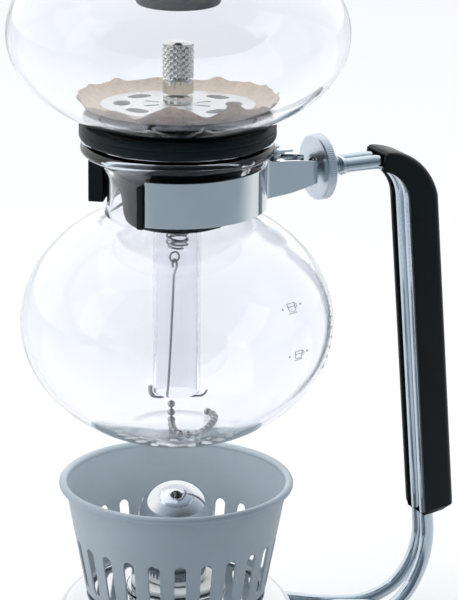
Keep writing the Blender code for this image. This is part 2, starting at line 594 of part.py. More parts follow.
# ---- lamp ----
def make_tank(carrier):
    """Round-shouldered fuel tank with a filler hole in its flat top."""
    wall = 0.0009
    centre = (TANK_R - SHOULDER_R, TANK_TOP_Z - SHOULDER_R)
    outer = [(0, 0), (0.0370, 0), (0.0405, 0.0012), (TANK_R, 0.0045)] + arc(centre, SHOULDER_R, 0, 90, 5)
    inner = arc(centre, SHOULDER_R - wall, 90, 0, 4)
    inner += [(TANK_R - wall, 0.0048), (0.0398, 0.0020), (0.0366, wall), (0, wall)]
    hole = [(0.0110, TANK_TOP_Z), (0.0110, TANK_TOP_Z - wall)]
    turned("lamp_tank", outer + hole + inner, "chrome", carrier)
    collar = [(0.0095, 0.0240), (0.0107, 0.0240), (0.0107, 0.0276), (0.0175, 0.0276), (0.0175, 0.0284),
              (0.0171, 0.0288), (0.0095, 0.0288)]
    turned("filler_collar", collar, "chrome", carrier, 24)


def make_burner(burner, wick_carrier, cap_carrier):
    """Ceramic wick holder, the wick in it and the snuffer cap over both."""
    holder = [(0.0043, 0.0180), (0.0056, 0.0180), (0.0056, 0.0250), (0.0091, 0.0250), (0.0091, 0.0291),
              (0.0155, 0.0291), (0.0155, 0.0305), (0.0149, 0.0310), (0.0062, 0.0310), (0.0056, 0.0316),
              (0.0056, 0.0490), (0.0043, 0.0490)]
    turned("wick_holder", holder, "ceramic", burner, 20)
    wick = [(0, 0.0045), (0.0039, 0.0045), (0.0039, 0.0525), (0.0032, 0.0535), (0, 0.0535)]
    turned("wick", wick, "cotton", wick_carrier, 12)
    wall = 0.0008
    skirt = [(CAP_SKIRT_R - wall, CAP_FOOT_Z), (CAP_SKIRT_R, CAP_FOOT_Z), (CAP_SKIRT_R, 0.0495), (0.0118, 0.0509),
             (0.0130, 0.0518)]
    dome = arc((0, CAP_Z), CAP_R, 0, 90, 5)
    hollow = arc((0, CAP_Z), CAP_R - wall, 90, 0, 4)
    step = [(0.0121, 0.0524), (0.0112, 0.0515), (CAP_SKIRT_R - wall, 0.0499)]
    dome[-1] = (0, dome[-1][1])
    hollow[0] = (0, hollow[0][1])
    turned("snuffer_cap", skirt + dome + hollow + step, "chrome", cap_carrier, 24)


def make_windshield(carrier):
    """Flared shield with a rolled rim and upright slots for the flame's air."""
    wall, bead = 0.0009, 0.0011
    foot = [(0.0295, SHIELD_Z), (SHIELD_FOOT_R, SHIELD_Z)]
    rim = arc((SHIELD_TOP_R, SHIELD_TOP_Z), bead, -60, 210, 5)
    inside = [(SHIELD_FOOT_R - wall + 0.0002, SHIELD_Z + wall), (0.0295, SHIELD_Z + wall)]
    shield = turned("windshield", foot + rim + inside, "satin_aluminium", carrier, 24)
    bm = bmesh.new()
    half, low, high = 0.0020, 0.0306, 0.0488
    outline = arc((high - half, 0), half, -90, 90, 2) + arc((low + half, 0), half, 90, 270, 2)
    for i in range(SHIELD_SLOTS):
        turn = Matrix.Rotation(SLOT_PHASE + 2 * math.pi * i / SHIELD_SLOTS, 4, "Z")
        upright = turn @ Matrix.Rotation(math.pi / 2, 4, "Y") @ Matrix.Scale(-1, 4, (1, 0, 0))
        prism_into(bm, outline, 0.0300, 0.0420, upright)
    cut(shield, bm)


def main():
    """Build every piece in its place."""
    clear_scene()
    on = make_carriers()
    make_lower_bulb(on["stand"])
    make_upper_bowl(on["bowl"])
    make_lid(on["lid"])
    make_gasket(on["bowl"])
    make_filter(on["bowl"], on["filter_nut"])
    make_spring(on["bowl"])
    make_pull(on["bowl"])
    make_jaw("clamp_jaw_left", 1, ((0.1764, 0.1777), (0.1715, 0.1728)), on["jaw_left"])
    make_jaw("clamp_jaw_right", -1, ((0.1780, 0.1793), (0.1699, 0.1712)), on["jaw_right"])
    make_jaw_pad("jaw_pad_left", 1, on["jaw_left"])
    make_jaw_pad("jaw_pad_right", -1, on["jaw_right"])
    make_clamp_core(on["stand"], on["nut"])
    make_rod("stand_rod_left", 1, on["stand"])
    make_rod("stand_rod_right", -1, on["stand"])
    make_grip(on["stand"])
    make_base_bridge(on["stand"])
    make_feet(on["stand"])
    make_tank(on["lamp"])
    make_burner(on["burner"], on["wick"], on["cap"])
    make_windshield(on["shield"])


main()
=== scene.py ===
"""Looks of the siphon coffee maker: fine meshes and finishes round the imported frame.

Metres, +Z up, origin under the lamp on the vessels' axis, +X towards the handle.
Outer sizes are read from the frame; the constants below only shape what lies between.
"""
import json
import math

import bmesh
import bpy
from mathutils import Matrix, Vector


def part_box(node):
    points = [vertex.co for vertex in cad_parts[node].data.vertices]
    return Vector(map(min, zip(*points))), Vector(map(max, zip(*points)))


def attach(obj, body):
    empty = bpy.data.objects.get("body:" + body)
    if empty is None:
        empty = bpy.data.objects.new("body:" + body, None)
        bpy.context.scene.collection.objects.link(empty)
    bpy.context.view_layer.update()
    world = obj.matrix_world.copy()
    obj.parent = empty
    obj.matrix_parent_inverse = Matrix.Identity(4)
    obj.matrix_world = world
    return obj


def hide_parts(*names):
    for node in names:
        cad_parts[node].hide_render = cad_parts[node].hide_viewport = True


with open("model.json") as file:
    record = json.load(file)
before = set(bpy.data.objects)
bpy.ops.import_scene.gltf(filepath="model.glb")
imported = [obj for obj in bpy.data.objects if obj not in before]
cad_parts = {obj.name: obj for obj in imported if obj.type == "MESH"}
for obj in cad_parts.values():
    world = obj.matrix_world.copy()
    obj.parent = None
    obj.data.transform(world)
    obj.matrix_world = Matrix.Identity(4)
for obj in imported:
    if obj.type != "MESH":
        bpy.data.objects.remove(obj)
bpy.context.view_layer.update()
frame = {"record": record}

BODY_OF = {node: body for body, nodes in frame["record"]["behaviour"]["bodies"].items() for node in nodes}
SLOT_OF = {part["node"]: part["material_slot"] for part in frame["record"]["subparts"]}


def radius(node):
    """Outer radius of a piece turned about the vessels' axis."""
    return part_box(node)[1].y


def foot(node):
    """Lowest height of a piece."""
    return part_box(node)[0].z


def top(node):
    """Highest height of a piece."""
    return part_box(node)[1].z


# ---- sizes read from the frame ----
BOWL_R, STEM_FOOT_Z = radius("upper_bowl"), foot("upper_bowl")
BULB_R, BULB_FOOT_Z = radius("lower_bulb"), foot("lower_bulb")
LID_R, LID_TOP_Z, SOCKET_FOOT_Z = radius("lid"), top("lid"), foot("lid")
GASKET_R, PLUG_FOOT_Z = radius("gasket"), foot("gasket")
BAND_FOOT_Z = foot("clamp_jaw_left")
NUT_LOW, NUT_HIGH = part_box("disc_nut")
ARM_Z = (NUT_LOW.z + NUT_HIGH.z) / 2
NUT_R = NUT_HIGH.y
TANK_R, TANK_TOP_Z = radius("lamp_tank"), top("lamp_tank")
SHIELD_FOOT_Z, SHIELD_RIM_Z, SHIELD_RIM_R = foot("windshield"), top("windshield"), radius("windshield")

# ---- shaping sizes ----
BOWL_HALF_H, BOWL_Z, BOWL_WALL = 0.0355, 0.2273, 0.0011
BULB_HALF_H, BULB_Z, BULB_WALL = 0.0429, 0.1263, 0.0016
STEM_R, STEM_BORE_R = 0.0082, 0.0068
BAND_R, BAND_T, BAND_TOP_Z = 0.0305, 0.0014, 0.1828
JAW_END, JAW_ROOT = 137, 17
PIVOT_X, TONGUE_END_X = 0.0365, 0.0510
STUD_R = 0.0032
ROD_R, ROD_Y = 0.0025, 0.0029
ROD_START_X, BEND_X, BEND_R = 0.0629, 0.0740, 0.0160
LEAN = math.radians(4.8)
BASE_Z, LEG_Y, LEG_END_X = 0.0043, 0.0472, -0.0440
SLOTS, SLOT_PHASE, SLOT_HALF, SLOT_LOW, SLOT_HIGH = 24, math.radians(6.6), 0.0020, 0.0306, 0.0488
TURNS = 144
HEADING = math.radians(27)
BORE_R = 0.0022
TIP_AXIS = Vector((math.cos(math.radians(153)), math.sin(math.radians(153)), 0))
TIP_ANGLE, TIP_Z = math.radians(4), 0.2013
FILTER_FRAME = (Matrix.Translation((0, 0, TIP_Z)) @ Matrix.Rotation(TIP_ANGLE, 4, TIP_AXIS)
                @ Matrix.Translation((0, 0, -TIP_Z)))


# ---- mesh helpers ----
def new_object(name, bm):
    """A linked object made from a bmesh."""
    mesh = bpy.data.meshes.new(name)
    bm.to_mesh(mesh)
    bm.free()
    made = bpy.data.objects.new(name, mesh)
    bpy.context.scene.collection.objects.link(made)
    return made


def piece(name, bm, node=None, body=None, slot=None, bevel=0.0, sharp=38, place=Matrix()):
    """A named object from a bmesh, riding on its body; with a node it replaces that CAD piece."""
    bmesh.ops.transform(bm, matrix=place, verts=bm.verts)
    bmesh.ops.remove_doubles(bm, verts=bm.verts, dist=1e-7)
    bmesh.ops.recalc_face_normals(bm, faces=bm.faces)
    made = new_object(name, bm)
    finish_shading(made, bevel, sharp)
    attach(made, body or BODY_OF[node])
    made.data.materials.append(MATERIALS[slot or SLOT_OF[node]])
    if node:
        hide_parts(node)
    return made


def finish_shading(made, bevel, sharp):
    """Smooth shading with sharp creases, and rounded edges where asked."""
    made.data.shade_smooth()
    made.data.set_sharp_from_angle(angle=math.radians(sharp))
    if bevel:
        edge = made.modifiers.new("edge", "BEVEL")
        edge.width = bevel
        edge.segments = 3
        edge.limit_method = "ANGLE"
        edge.angle_limit = math.radians(sharp)
        edge.harden_normals = True


def loose(name, bm):
    """A hidden tool object for a solid operation."""
    bmesh.ops.recalc_face_normals(bm, faces=bm.faces)
    return new_object(name, bm)


def combined(base, tools):
    """The bmesh of a base bmesh after solid operations; tools are (operation, bmesh) pairs."""
    body = loose("solid_base", base)
    helpers = []
    for operation, bm in tools:
        helper = loose("solid_tool", bm)
        helpers.append(helper)
        step = body.modifiers.new(operation, "BOOLEAN")
        step.operation = operation
        step.solver = "EXACT"
        step.object = helper
    graph = bpy.context.evaluated_depsgraph_get()
    result = bmesh.new()
    result.from_mesh(body.evaluated_get(graph).to_mesh())
    for old in [body] + helpers:
        bpy.data.objects.remove(old)
    return result


def arc(centre, r, start, end, count):
    """Points along a circular arc in a plane, angles in degrees."""
    angles = [math.radians(start + (end - start) * i / count) for i in range(count + 1)]
    return [(centre[0] + r * math.cos(a), centre[1] + r * math.sin(a)) for a in angles]


def circle(centre, r, count):
    """The points of a full circle in a plane."""
    return arc(centre, r, 0, 360 * (count - 1) / count, count - 1)


def around(r, angle, z):
    """The point at a radius, an angle and a height about the vessels' axis."""
    return Vector((r * math.cos(angle), r * math.sin(angle), z))


def oval(r, half_height, z_mid, start, end, count):
    """Points along an ellipsoid's section, angles in degrees."""
    angles = [math.radians(start + (end - start) * i / count) for i in range(count + 1)]
    return [(r * math.cos(a), z_mid + half_height * math.sin(a)) for a in angles]


def rounded(points, size, steps=4):
    """A polyline with its corners rounded; its ends stay where they are."""
    route = [Vector(p) for p in points]
    result = [route[0]]
    for before, corner, after in zip(route, route[1:], route[2:]):
        back, ahead = before - corner, after - corner
        reach = min(size, back.length * 0.49, ahead.length * 0.49)
        start, end = corner + back.normalized() * reach, corner + ahead.normalized() * reach
        for i in range(steps + 1):
            t = i / steps
            result.append(start * (1 - t) ** 2 + corner * 2 * t * (1 - t) + end * t * t)
    result.append(route[-1])
    return [tuple(p) for p in result]


def smooth(points, per_span):
    """A smooth curve through given points, in a plane or in space."""
    route = [Vector(p) for p in points]
    padded = [2 * route[0] - route[1]] + route + [2 * route[-1] - route[-2]]
    dense = []
    for a, b, c, d in zip(padded, padded[1:], padded[2:], padded[3:]):
        for k in range(per_span):
            t = k / per_span
            dense.append(0.5 * (2 * b + (c - a) * t + (2 * a - 5 * b + 4 * c - d) * t * t
                                + (3 * b - a - 3 * c + d) * t ** 3))
    return dense + [route[-1]]


def lathe(profile, turns=TURNS, place=Matrix(), bm=None, shape=None):
    """Turn a closed (radius, height) profile about Z; shape may bend each point."""
    bm = bm or bmesh.new()
    rings = []
    for r, z in profile:
        ring = []
        for i in range(1 if r < 1e-6 else turns):
            angle = 2 * math.pi * i / turns
            rr, zz = shape(angle, r, z) if shape else (r, z)
            ring.append(bm.verts.new(place @ around(rr, angle, zz)))
        rings.append(ring)
    for low, high in zip(rings, rings[1:] + rings[:1]):
        if len(low) == 1 and len(high) == 1:
            continue
        for i in range(turns):
            j = i + 1
            quad = [low[i % len(low)], low[j % len(low)], high[j % len(high)], high[i % len(high)]]
            bm.faces.new(list(dict.fromkeys(quad)))
    return bm


def prism(outline, low, high, place=Matrix(), bm=None):
    """Extrude a plane outline between two heights of a frame."""
    bm = bm or bmesh.new()
    bottom = [bm.verts.new(place @ Vector((x, y, low))) for x, y in outline]
    upper = [bm.verts.new(place @ Vector((x, y, high))) for x, y in outline]
    bm.faces.new(bottom[::-1])
    bm.faces.new(upper)
    stitch(bm, bottom, upper)
    return bm


def stitch(bm, near, far):
    """A closed band of quads between two rings."""
    for i in range(len(near)):
        j = (i + 1) % len(near)
        bm.faces.new((near[i], near[j], far[j], far[i]))


def join(bm, rings, ends=False):
    """Bands of quads along a row of rings, with both ends closed if asked."""
    for near, far in zip(rings, rings[1:]):
        stitch(bm, near, far)
    if ends:
        bm.faces.new(rings[0])
        bm.faces.new(rings[-1])


def sweep(route, section_at, closed=False, bm=None, normal=None):
    """Sweep (across, up) sections along a route; each ring turns as little as it can."""
    bm = bm or bmesh.new()
    route = [Vector(p) for p in route]
    count = len(route)
    side = normal
    rings = []
    for i, point in enumerate(route):
        before = route[i - 1] if closed or i else point
        after = route[(i + 1) % count] if closed or i < count - 1 else point
        ahead = (after - before).normalized()
        if side is None:
            side = ahead.orthogonal()
        side = (side - side.dot(ahead) * ahead).normalized()
        up = ahead.cross(side)
        rings.append([bm.verts.new(point + a * side + b * up) for a, b in section_at(i)])
    for near, far in zip(rings, rings[1:] + (rings[:1] if closed else [])):
        if far is not near:
            stitch(bm, near, far)
    if not closed:
        bm.faces.new(rings[0][::-1])
        bm.faces.new(rings[-1])
    return bm


def wire(route, r, sides=12, closed=False, bm=None):
    """Sweep a round section; r is a radius or one radius for each point."""
    radii = r if isinstance(r, list) else [r] * len(route)
    section = circle((0, 0), 1, sides)
    return sweep(route, lambda i: [(radii[i] * a, radii[i] * b) for a, b in section], closed, bm)


# ---- finishes ----
class Graph:
    """Short makers for the shader nodes of a material or of the world."""

    def __init__(self, owner):
        owner.use_nodes = True
        self.owner, self.nodes, self.links = owner, owner.node_tree.nodes, owner.node_tree.links
        self.shader = self.nodes.get("Principled BSDF")

    def add(self, kind, **values):
        """A node with its plain properties set."""
        made = self.nodes.new("ShaderNode" + kind)
        for key, value in values.items():
            setattr(made, key, value)
        return made

    def set(self, **values):
        """Give the shader's sockets (spaces written as underscores) a value, or link a node to them."""
        for key, value in values.items():
            socket = self.shader.inputs[key.replace("_", " ")]
            if isinstance(value, bpy.types.NodeSocket):
                self.links.new(value, socket)
            else:
                socket.default_value = value

    def place(self, kind="Object"):
        """Coordinates of the point being shaded."""
        return self.add("TexCoord").outputs[kind]

    def noise(self, vector, scale, detail, rough=0.5):
        """A noise value at a vector."""
        made = self.add("TexNoise")
        for key, value in (("Scale", scale), ("Detail", detail), ("Roughness", rough)):
            made.inputs[key].default_value = value
        self.links.new(vector, made.inputs["Vector"])
        return made.outputs["Fac"]

    def grain(self, scale, detail=4.0, rough=0.55, stretch=(1, 1, 1)):
        """Noise on the piece's own coordinates, stretched along chosen axes."""
        fit = self.add("Mapping")
        fit.inputs["Scale"].default_value = stretch
        self.links.new(self.place(), fit.inputs["Vector"])
        return self.noise(fit.outputs["Vector"], scale, detail, rough)

    def vector(self, operation, source, other=None):
        """The result of a vector operation on a source."""
        made = self.add("VectorMath", operation=operation)
        self.links.new(source, made.inputs[0])
        if other:
            made.inputs[1].default_value = other
        return made.outputs["Value" if operation in ("LENGTH", "DOT_PRODUCT") else "Vector"]

    def spun(self, axis, scale, detail=3.0):
        """Noise that only changes with radius and height about an axis: the marks of turning."""
        apart, flat, joined = self.add("SeparateXYZ"), self.add("CombineXYZ"), self.add("CombineXYZ")
        self.links.new(self.place(), apart.inputs["Vector"])
        for socket, letter in zip("XY", [n for n in "XYZ" if n != axis]):
            self.links.new(apart.outputs[letter], flat.inputs[socket])
        across = flat.outputs["Vector"]
        if axis == "X":
            across = self.vector("SUBTRACT", across, (0, ARM_Z, 0))
        self.links.new(self.vector("LENGTH", across), joined.inputs["X"])
        self.links.new(apart.outputs[axis], joined.inputs["Z"])
        return self.noise(joined.outputs["Vector"], scale, detail)

    def spread(self, source, low, high, start=0.3, end=0.7):
        """Map a value onto a range."""
        made = self.add("MapRange")
        for key, value in (("From Min", start), ("From Max", end), ("To Min", low), ("To Max", high)):
            made.inputs[key].default_value = value
        self.links.new(source, made.inputs["Value"])
        return made.outputs["Result"]

    def ramp(self, source, *stops):
        """Colour a value; stops are (place, colour) pairs."""
        made = self.add("ValToRGB")
        while len(made.color_ramp.elements) < len(stops):
            made.color_ramp.elements.new(0.5)
        for element, (place, color) in zip(made.color_ramp.elements, stops):
            element.position = place
            element.color = (*color, 1.0)
        self.links.new(source, made.inputs["Fac"])
        return made.outputs["Color"]

    def multiply(self, first, second, share=1.0):
        """One colour multiplied by another."""
        made = self.add("MixRGB", blend_type="MULTIPLY")
        made.inputs["Fac"].default_value = share
        self.links.new(first, made.inputs["Color1"])
        self.links.new(second, made.inputs["Color2"])
        return made.outputs["Color"]

    def bump(self, source, strength, depth):
        """Drive the shader's normal from a height value, after any bump it already has."""
        made, normal = self.add("Bump"), self.shader.inputs["Normal"]
        made.inputs["Strength"].default_value = strength
        made.inputs["Distance"].default_value = depth
        self.links.new(source, made.inputs["Height"])
        if normal.is_linked:
            self.links.new(normal.links[0].from_socket, made.inputs["Normal"])
        self.links.new(made.outputs["Normal"], normal)


def finish(name):
    """The graph of a new material."""
    return Graph(bpy.data.materials.new(name))


def tones(color, change):
    """A darker and a lighter tone of a colour."""
    return tuple(c * (1 - change) for c in color), tuple(min(1.0, c * (1 + change)) for c in color)


def make_glass(name):
    """Clear borosilicate glass, faintly blue where it is thick, with a trace of blowing waves."""
    look = finish(name)
    look.set(Base_Color=(0.968, 0.966, 0.984, 1.0), Transmission_Weight=1.0, IOR=1.47,
             Roughness=look.spread(look.grain(38.0), 0.0, 0.012))
    look.bump(look.grain(55.0, 1.0, stretch=(1, 1, 0.6)), 0.12, 0.0006)
    depth = look.add("VolumeAbsorption")
    depth.inputs["Color"].default_value = (0.45, 0.68, 0.84, 1.0)
    depth.inputs["Density"].default_value = 16.0
    look.links.new(depth.outputs["Volume"], look.nodes["Material Output"].inputs["Volume"])
    return look.owner


def make_chrome(name, color, rough, turned=None):
    """Bright plated metal with faint smudges and, on turned pieces, fine lathe marks."""
    look = finish(name)
    smear = look.grain(60.0, 5.0)
    dark, light = tones(color, 0.05)
    look.set(Metallic=1.0, Base_Color=look.ramp(smear, (0.3, dark), (0.75, light)),
             Roughness=look.spread(smear, rough * 0.6, rough * 1.7))
    if turned:
        look.bump(look.spun(turned, 2600.0), 0.12, 0.00004)
    else:
        look.bump(look.grain(900.0, 2.0), 0.05, 0.00003)
    return look.owner


def make_satin(name, color, rough, axis, marks_depth, metallic=1.0):
    """Satin metal with the fine rings left by turning or spinning."""
    look = finish(name)
    marks = look.spun(axis, 3200.0)
    dark, light = tones(color, 0.06)
    look.set(Metallic=metallic, Base_Color=look.ramp(look.grain(45.0, 5.0), (0.3, dark), (0.7, light)),
             Roughness=look.spread(marks, rough * 0.85, rough * 1.15))
    look.bump(marks, 0.22, marks_depth)
    look.bump(look.grain(2400.0, 2.0), 0.15, 0.00004)
    return look.owner


def make_black(name, color, rough, pebble, bloom):
    """Dark rubber or plastic: moulded pebble, handling bloom and a soft sheen."""
    look = finish(name)
    cloud = look.grain(70.0, 6.0)
    dark, light = tones(color, bloom)
    look.set(Base_Color=look.ramp(cloud, (0.3, dark), (0.7, light)), Specular_IOR_Level=0.13,
             Roughness=look.spread(cloud, rough * 0.85, rough * 1.2))
    look.bump(look.grain(pebble, 3.0), 0.25, 0.00006)
    return look.owner


def make_paper(name):
    """Unbleached filter paper: mottled pulp with long fibres, with painted shade near black under the plate.
    """
    look = finish(name)
    pulp = look.grain(420.0, 6.0, 0.7)
    tint = look.ramp(pulp, (0.25, (0.82, 0.69, 0.57)), (0.5, (0.90, 0.78, 0.66)), (0.8, (0.95, 0.85, 0.74)))
    fibre = look.grain(520.0, 2.0, stretch=(1, 6, 2))
    flecks = look.ramp(fibre, (0.56, (1, 1, 1)), (0.66, (0.78, 0.70, 0.62)))
    # painted shade: the paper under the plate, seen through its slots, is painted near black in place of the
    # shade that falls there
    from_axis = look.vector("LENGTH", look.vector("MULTIPLY", look.place(), (1, 1, 0)))
    shade_start, shade_end = 0.0235, 0.0262
    painted_shade = look.ramp(look.spread(from_axis, 0.0, 1.0, shade_start, shade_end),
                      (0.0, (0.03, 0.027, 0.024)), (1.0, (1, 1, 1)))
    look.set(Base_Color=look.multiply(look.multiply(tint, flecks, 0.6), painted_shade),
             Roughness=look.spread(pulp, 0.86, 0.98), Subsurface_Weight=0.15, Subsurface_Scale=0.0006)
    look.bump(pulp, 0.5, 0.00015)
    return look.owner


def make_pale(name, color, rough, mottle, subsurface):
    """White plastic, ceramic or enamel: near-even colour, small flow marks, a trace of depth."""
    look = finish(name)
    cloud = look.grain(mottle, 5.0)
    look.set(Base_Color=look.ramp(cloud, (0.3, tones(color, 0.05)[0]), (0.65, color)),
             Roughness=look.spread(cloud, rough * 0.8, rough * 1.3),
             Subsurface_Weight=subsurface, Subsurface_Scale=0.0008)
    look.bump(look.grain(mottle * 9, 2.0), 0.12, 0.00005)
    return look.owner


def make_cotton(name):
    """Cotton yarn: cream strands, with painted shade darkening the valleys between them."""
    look = finish(name)
    yarn = look.grain(2600.0, 3.0, stretch=(1, 1, 0.35))
    # painted shade: the colour darkens where the yarn height is low, in the valleys between strands
    look.set(Base_Color=look.ramp(yarn, (0.3, (0.60, 0.57, 0.50)), (0.7, (0.88, 0.86, 0.80))),
             Roughness=look.spread(yarn, 0.85, 1.0), Sheen_Weight=0.3)
    look.bump(yarn, 0.6, 0.0001)
    return look.owner


def make_floor_finish():
    """Pale studio floor with painted shade: it deepens to a cool grey in front of the object, where the light
    would fall off.
    """
    look = finish("floor")
    toward_front = look.vector("DOT_PRODUCT", look.place(), (-0.05, -0.98, 0))
    # painted shade: the floor colour darkens towards the front in place of light falloff
    look.set(Base_Color=look.ramp(look.spread(toward_front, 0.0, 1.0, 0.02, 0.32),
                                  (0.0, (0.97, 0.965, 0.96)), (1.0, (0.37, 0.42, 0.455))),
             Roughness=0.9, Specular_IOR_Level=0.1)
    return look.owner


MATERIALS = {name: maker(name, *values) for name, maker, *values in (
    ("glass", make_glass),
    ("lid_plastic", make_black, (0.013, 0.018, 0.020), 0.34, 900.0, 0.12),
    ("stopper_rubber", make_black, (0.006, 0.013, 0.015), 0.42, 1500.0, 0.2),
    ("pad_rubber", make_black, (0.010, 0.016, 0.017), 0.5, 1500.0, 0.2),
    ("foot_rubber", make_black, (0.02, 0.02, 0.021), 0.6, 1200.0, 0.25),
    ("grip_plastic", make_black, (0.007, 0.011, 0.012), 0.36, 1600.0, 0.15),
    ("paper", make_paper),
    ("filter_plastic", make_pale, (0.97, 0.97, 0.96), 0.28, 60.0, 0.1),
    ("filter_metal", make_chrome, (0.62, 0.61, 0.59), 0.07),
    ("wire_metal", make_chrome, (0.42, 0.42, 0.41), 0.10),
    ("clamp_chrome", make_chrome, (0.64, 0.68, 0.71), 0.10),
    ("satin_steel", make_satin, (0.60, 0.66, 0.72), 0.30, "X", 0.00006),
    ("stand_chrome", make_chrome, (0.50, 0.57, 0.63), 0.05),
    ("lamp_chrome", make_chrome, (0.60, 0.63, 0.65), 0.06, "Z"),
    ("ceramic", make_pale, (0.86, 0.85, 0.82), 0.22, 110.0, 0.15),
    ("cotton", make_cotton),
    ("shield_aluminium", make_satin, (0.37, 0.425, 0.47), 0.46, "Z", 0.00004, 0.3),
)}
MARK_ENAMEL = make_pale("mark_enamel", (0.52, 0.56, 0.62), 0.45, 300.0, 0.0)


# ---- camera, floor and light ----
def make_camera():
    """A long lens from the left front, a little above."""
    data = bpy.data.cameras.new("camera")
    data.lens, data.sensor_width = 196.2, 36.0
    camera = bpy.data.objects.new("camera", data)
    camera.location = (-0.4707, -0.9631, 0.4673)
    pitch, roll = math.radians(90 - 17.3), math.radians(0.545)
    camera.matrix_world = (Matrix.Translation(camera.location) @ Matrix.Rotation(-HEADING, 4, "Z")
                           @ Matrix.Rotation(pitch, 4, "X") @ Matrix.Rotation(roll, 4, "Z"))
    bpy.context.scene.collection.objects.link(camera)
    bpy.context.scene.camera = camera


def make_floor():
    """A wide pale floor."""
    bm = bmesh.new()
    bmesh.ops.create_grid(bm, x_segments=8, y_segments=8, size=6.0)
    floor = new_object("floor", bm)
    floor.location.z = -0.0002
    floor.data.materials.append(make_floor_finish())


def make_world():
    """Soft studio surround: white behind and above, cooler and greyer on the camera's side."""
    look = Graph(bpy.data.worlds.new("studio"))
    toward_camera = look.vector("DOT_PRODUCT", look.place("Generated"), (-0.05, -0.98, -0.12))
    tint = look.ramp(look.spread(toward_camera, 0.0, 1.0, -0.45, 0.8),
                     (0.0, (1.0, 1.0, 1.0)), (0.45, (0.42, 0.48, 0.54)), (1.0, (0.11, 0.13, 0.15)))
    background = look.nodes["Background"]
    look.links.new(tint, background.inputs["Color"])
    background.inputs["Strength"].default_value = 1.38
    bpy.context.scene.world = look.owner


def make_light(name, place, target, size, power, hidden=False):
    """A soft box aimed at a point, never seen directly; a hidden one isn't seen through glass either."""
    data = bpy.data.lights.new(name, "AREA")
    data.shape = "RECTANGLE"
    data.size, data.size_y = size
    data.energy = power
    light = bpy.data.objects.new(name, data)
    light.location = place
    light.visible_glossy = False
    light.visible_camera = False
    light.visible_transmission = not hidden
    light.rotation_mode = "QUATERNION"
    light.rotation_quaternion = (Vector(place) - Vector(target)).to_track_quat("Z", "Y")
    bpy.context.scene.collection.objects.link(light)


# ---- glass ----
def make_bulb():
    """Lower globe: flattened foot, waisted neck and a thick rolled rim."""
    r, half, z = BULB_R, BULB_HALF_H, BULB_Z
    outer = [(0, BULB_FOOT_Z + 0.0006), (0.0110, BULB_FOOT_Z + 0.0004)]
    outer += rounded([(0.0140, BULB_FOOT_Z), (0.0190, BULB_FOOT_Z), oval(r, half, z, -60, -60, 1)[0]], 0.004,
                     6)
    outer += oval(r, half, z, -58, 60, 60)
    neck = [(0.0250, 0.1643), (0.0241, 0.1680), (0.0239, 0.1735), (0.0242, 0.1785), (0.0262, 0.1826),
            (0.0292, 0.1852)]
    outer += smooth(neck, 6)[1:]
    rim = arc((0.0308, 0.1879), 0.0023, -68, 100, 16) + [(0.0290, 0.1900)]
    inner = smooth([(0.0272, 0.1894), (0.0248, 0.1866), (0.0230, 0.1828), (0.0223, 0.1780), (0.0222, 0.1735),
                    (0.0224, 0.1690), (0.0233, 0.1640)], 6)
    inside_r, inside_half = r - BULB_WALL, half - BULB_WALL
    inner += oval(inside_r, inside_half, z, 61, -58, 60)
    floor_z = BULB_FOOT_Z + BULB_WALL
    inner += rounded([oval(inside_r, inside_half, z, -60, -60, 1)[0], (0.0188, floor_z + 0.0004),
                      (0.0135, floor_z)],
                     0.004, 6) + [(0.0105, floor_z + 0.0003), (0, floor_z + 0.0006)]
    piece("bulb_glass", lathe(outer + rim + inner, 160), "lower_bulb")


def make_bowl():
    """Upper globe with its stem below and an open collar above."""
    r, half, z = BOWL_R, BOWL_HALF_H, BOWL_Z
    stem = rounded([(STEM_BORE_R, STEM_FOOT_Z + 0.0006), (STEM_BORE_R + 0.0002, STEM_FOOT_Z),
                    (STEM_R - 0.0002, STEM_FOOT_Z), (STEM_R, STEM_FOOT_Z + 0.0006), (STEM_R, 0.1500)], 0.0004)
    neck = smooth([(STEM_R, 0.1880), (STEM_R + 0.0001, 0.1898), (0.0090, 0.1912), (0.0110, 0.1918)], 5)
    globe = oval(r, half, z, -78, 48, 72)
    collar = smooth([(0.0384, 0.2543), (0.0376, 0.2570), (0.0374, 0.2620), (0.0374, 0.2740)], 5)
    lip = arc((0.0372, 0.2786), 0.0014, -60, 180, 14)
    well = smooth([(0.0357, 0.2740), (0.0356, 0.2640), (0.0357, 0.2585), (0.0363, 0.2552)], 5)
    inside = oval(r - BOWL_WALL, half - BOWL_WALL, z, 47.5, -72, 64)
    throat = smooth([(0.0150, 0.1942), (0.0112, 0.1936), (0.0084, 0.1931), (0.0071, 0.1916),
                     (STEM_BORE_R, 0.1880)], 5)
    piece("bowl_glass", lathe(stem + neck + globe + collar + lip + well + inside + throat, 160), "upper_bowl")


def on_bulb(azimuth, across, z, lift):
    """A point just off the bulb's skin, so far round from an azimuth."""
    r = BULB_R * math.sqrt(1 - ((z - BULB_Z) / BULB_HALF_H) ** 2) + lift
    return around(r, azimuth + across / r, z)


